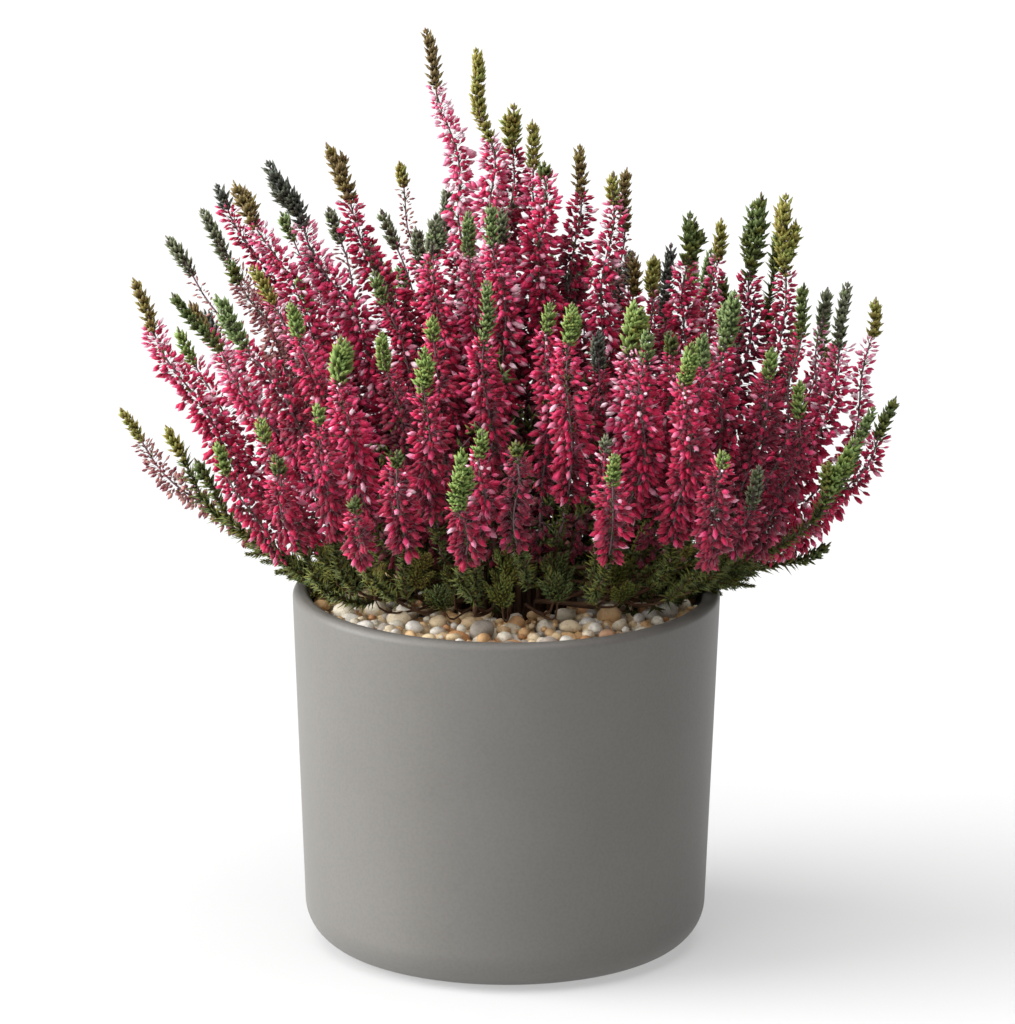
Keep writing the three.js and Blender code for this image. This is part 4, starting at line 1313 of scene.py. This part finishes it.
def simple_object(name, vertices, faces, material, tones=None):
    mesh = bpy.data.meshes.new(name)
    mesh.from_pydata((np.asarray(vertices) * MM).tolist(), [], np.asarray(faces).tolist())
    mesh.polygons.foreach_set("use_smooth", np.ones(len(mesh.polygons), bool))
    if tones is not None:
        data = mesh.attributes.new("tone", "FLOAT", "POINT").data
        data.foreach_set("value", np.asarray(tones, np.float32))
    mesh.validate()
    mesh.update()
    mesh.materials.append(material)
    piece = bpy.data.objects.new(name, mesh)
    bpy.context.scene.collection.objects.link(piece)
    return piece


def icosphere(level):
    """Vertices and faces of a unit sphere."""
    mesh = bmesh.new()
    bmesh.ops.create_icosphere(mesh, subdivisions=level, radius=1)
    vertices = np.array([v.co[:] for v in mesh.verts])
    faces = np.array([[v.index for v in f.verts] for f in mesh.faces])
    mesh.free()
    return vertices, faces


PEBBLE_BED = 115.4
# Each layer of stones: its height over the bed, the spacing, and how many of each size.
PEBBLE_LAYERS = [(0.0, 0.94, (46, 230, 520)), (2.2, 1.2, (26, 110, 260))]
PEBBLE_SIZES = [(3.3, 4.6), (2.0, 3.3), (1.1, 2.0)]  # least and greatest radius
STONE_TONES = [0.05, 0.16, 0.3, 0.46, 0.6, 0.76, 0.95]
STONE_SHARES = [0.06, 0.07, 0.1, 0.2, 0.22, 0.2, 0.15]
STONE_TONE_SCATTER = 0.03


def pebble_places(rng):
    """Centre x, y, z and radius of each stone, thrown on the ring between the crown and the wall."""
    stones = []
    for height, spacing, counts in PEBBLE_LAYERS:
        layer = []
        radii = [rng.uniform(*size, n) for size, n in zip(PEBBLE_SIZES, counts)]
        for radius in np.sort(np.concatenate(radii))[::-1]:
            for _ in range(24):
                a = rng.uniform(0, 2 * math.pi)
                far = math.sqrt(rng.uniform(20.0**2, 66.0**2))
                x, y = far * math.cos(a), far * math.sin(a)
                inside = math.hypot(x - CROWN[0], y - CROWN[1]) > GRAVEL_HOLE_RADIUS + radius * 0.5
                within = far < inner_radius(GRAVEL_TOP) - radius - 0.2
                clear = all(
                    (x - sx) ** 2 + (y - sy) ** 2 > (spacing * 0.86 * (radius + sr)) ** 2
                    for sx, sy, _, sr in layer
                )
                if inside and within and clear:
                    z = PEBBLE_BED + height + 0.35 * radius + rng.uniform(-0.3, 0.3)
                    layer.append((x, y, z, radius))
                    break
        stones += layer
    return stones


def dress_gravel(material):
    rng = np.random.default_rng(31)
    spheres = [icosphere(level) for level in (3, 2, 1)]
    vertices, faces, tones, count = [], [], [], 0

    def gather(v, f, tone):
        nonlocal count
        vertices.append(v)
        faces.append(np.asarray(f) + count)
        tones.append(np.broadcast_to(tone, len(v)))
        count += len(v)

    gather(*gravel_bed(rng))
    for x, y, z, radius in pebble_places(rng):
        size = next(k for k, (least, _) in enumerate(PEBBLE_SIZES) if radius >= least)
        form, form_faces = spheres[size]
        lumps = sum(
            0.07 * np.sin(form @ rng.normal(0, 1.9, 3) + rng.uniform(0, 6)) for _ in range(3)
        )
        shape = form * (1 + lumps[:, None]) * (1, rng.uniform(0.7, 0.96), rng.uniform(0.56, 0.84))
        turn = Matrix.Rotation(rng.uniform(0, 2 * math.pi), 3, "Z")
        turn = turn @ Matrix.Rotation(rng.normal(0, 0.3), 3, "X")
        placed = shape * radius @ np.array(turn).T + (x, y, z)
        tone = rng.choice(STONE_TONES, p=STONE_SHARES) + rng.normal(0, STONE_TONE_SCATTER)
        gather(placed, form_faces, np.clip(tone, 0, 1))
    return simple_object("gravel_stones", np.concatenate(vertices), np.concatenate(faces), material,
                         np.concatenate(tones))


def gravel_bed(rng):
    """The finer grit under the stones: a closed ring from the crown to the wall."""
    around_ring, across = 160, 14
    a = np.arange(around_ring) * 2 * math.pi / around_ring
    out = np.column_stack([np.cos(a), np.sin(a)])
    inner = CROWN + GRAVEL_HOLE_RADIUS * out
    rows = []
    for share in np.linspace(0, 1, across):
        outer = (inner_radius(PEBBLE_BED) - 2 * FIT_GAP) * out
        z = PEBBLE_BED + rng.uniform(-0.6, 0.6, around_ring)
        rows.append(np.column_stack([lerp(inner, outer, share), z]))
    bottom = COMPOST_TOP + FIT_GAP
    foot = (inner_radius(bottom) - 2 * FIT_GAP) * out
    rows.append(np.column_stack([foot, np.full(around_ring, bottom)]))
    rows.append(np.column_stack([inner, np.full(around_ring, bottom)]))
    faces = []
    for j in range(len(rows)):
        for k in range(around_ring):
            n, up = (k + 1) % around_ring, (j + 1) % len(rows)
            c = (j * around_ring + k, j * around_ring + n, up * around_ring + n, up * around_ring + k)
            faces += [(c[0], c[2], c[1]), (c[0], c[3], c[2])]
    return np.concatenate(rows), faces, 0.0


def dress_compost(material):
    def crumble(x, y, z):
        wave = np.sin(x * 1.7 + 2 * np.sin(y * 0.9)) * np.cos(y * 1.5 + np.sin(x * 1.1))
        return np.where(z > COMPOST_TOP - 1, 0.7 * wave - 0.7, 0)

    bottom, round_top = POT_FLOOR + FIT_GAP, POT_FLOOR + INNER_ROUND
    rim = inner_radius(COMPOST_TOP) - FIT_GAP
    profile = [
        (0, bottom),
        (inner_radius(round_top) - INNER_ROUND - FIT_GAP, bottom),
        (inner_radius(round_top) - 5 * FIT_GAP, round_top),
        (rim, COMPOST_TOP - 2),
        *[(r, COMPOST_TOP) for r in np.linspace(rim, 1.5, 44)],
        (0, COMPOST_TOP),
    ]
    vertices, faces = lathe(profile, 96, crumble)
    return simple_object("peat_compost", vertices, faces, material)


# ---- Putting the object together ----

def dress_plant():
    bell, leafy = bell_material(), [leaf_material(), bark_material()]
    shoots = gather_shoots()
    settle(shoots)
    rng = np.random.default_rng(5)
    for name in dict.fromkeys(s.spray for s in shoots):
        bells, leaves = Batch(), Batch()
        for shoot in shoots:
            if shoot.spray == name:
                dress_shoot(shoot, bells, leaves, rng)
        short = name.replace("spray_", "")
        green = make_object(f"shoots_{short}" if bells.count else f"{name}_fan", leaves, leafy, 2)
        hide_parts(name)
        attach(green, "root")
        if bells.count:
            flowers = make_object(f"bells_{short}", bells, [bell])
            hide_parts(name)
            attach(flowers, "root")


def dress_container():
    for piece, node, slot in (
        (dress_pot(ceramic_material()), "pot", "ceramic"),
        (dress_compost(compost_material()), "compost", "compost"),
        (dress_gravel(stone_material()), "gravel", "gravel"),
    ):
        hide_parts(node)
        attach(piece, "root")


# ---- Studio ----

def add_floor():
    n = Nodes("studio_floor", Roughness=0.9, Specular_IOR_Level=0.1, Emission_Strength=0.42,
              Emission_Color=(1, 1, 1, 1))
    tint = n.ramp(n.noise(3), [(0.3, 0.36), (0.7, 0.38)])
    mesh = bpy.data.meshes.new("floor")
    half = 8.0
    mesh.from_pydata([(-half, -half, 0), (half, -half, 0), (half, half, 0), (-half, half, 0)], [],
                     [(0, 1, 2, 3)])
    mesh.materials.append(n.feed(Base_Color=tint))
    floor = bpy.data.objects.new("floor", mesh)
    bpy.context.scene.collection.objects.link(floor)


def add_sun(name, direction, strength, angle, colour=(1, 1, 1)):
    """Light from a wide soft source, direction being where it comes from."""
    light = bpy.data.lights.new(name, "SUN")
    light.energy, light.angle, light.color = strength, math.radians(angle), colour
    lamp = bpy.data.objects.new(name, light)
    lamp.rotation_euler = Vector(direction).to_track_quat("Z", "Y").to_euler()
    bpy.context.scene.collection.objects.link(lamp)


def add_lights():
    add_sun("window", (-0.92, -0.09, 0.375), 5.2, 50)
    add_sun("ceiling", (-0.1, -0.1, 1.0), 3.0, 60)
    add_sun("front", (-0.4, -0.75, 0.55), 0.7, 50)
    add_sun("far_wall", (0.95, 0.33, 0.25), 0.12, 60)
    world = bpy.data.worlds.new("studio")
    world.use_nodes = True
    background = world.node_tree.nodes["Background"]
    background.inputs["Color"].default_value = (1, 1, 1, 1)
    background.inputs["Strength"].default_value = 0.03
    bpy.context.scene.world = world


CAMERA_ELEVATION = math.radians(14.75)
CAMERA_DISTANCE = 2.6255
CAMERA_LOOKS_AT = Vector((0.00027, 0, 0.1495))
CAMERA_ROLL = math.radians(0.24)
CAMERA_LENS = 273.1
CAMERA_FILM = 36


def add_camera():
    data = bpy.data.cameras.new("camera")
    data.sensor_fit = "VERTICAL"
    data.sensor_height = data.sensor_width = CAMERA_FILM
    data.lens = CAMERA_LENS
    camera = bpy.data.objects.new("camera", data)
    forward = Vector((0, math.cos(CAMERA_ELEVATION), -math.sin(CAMERA_ELEVATION)))
    right = Vector((1, 0, 0))
    up = right.cross(forward)
    cos, sin = math.cos(CAMERA_ROLL), math.sin(CAMERA_ROLL)
    turned_right, turned_up = right * cos + up * sin, up * cos - right * sin
    place = Matrix((turned_right, turned_up, -forward)).transposed().to_4x4()
    place.translation = CAMERA_LOOKS_AT - forward * CAMERA_DISTANCE
    camera.matrix_world = place
    bpy.context.scene.collection.objects.link(camera)
    bpy.context.scene.camera = camera


def set_picture():
    scene = bpy.context.scene
    scene.view_settings.view_transform = "Standard"
    scene.view_settings.look = "None"
    scene.cycles.use_denoising = True
    scene.cycles.max_bounces = 6
    scene.cycles.diffuse_bounces = 3
    scene.cycles.glossy_bounces = 2


dress_container()
dress_plant()
add_floor()
add_lights()
add_camera()
set_picture()
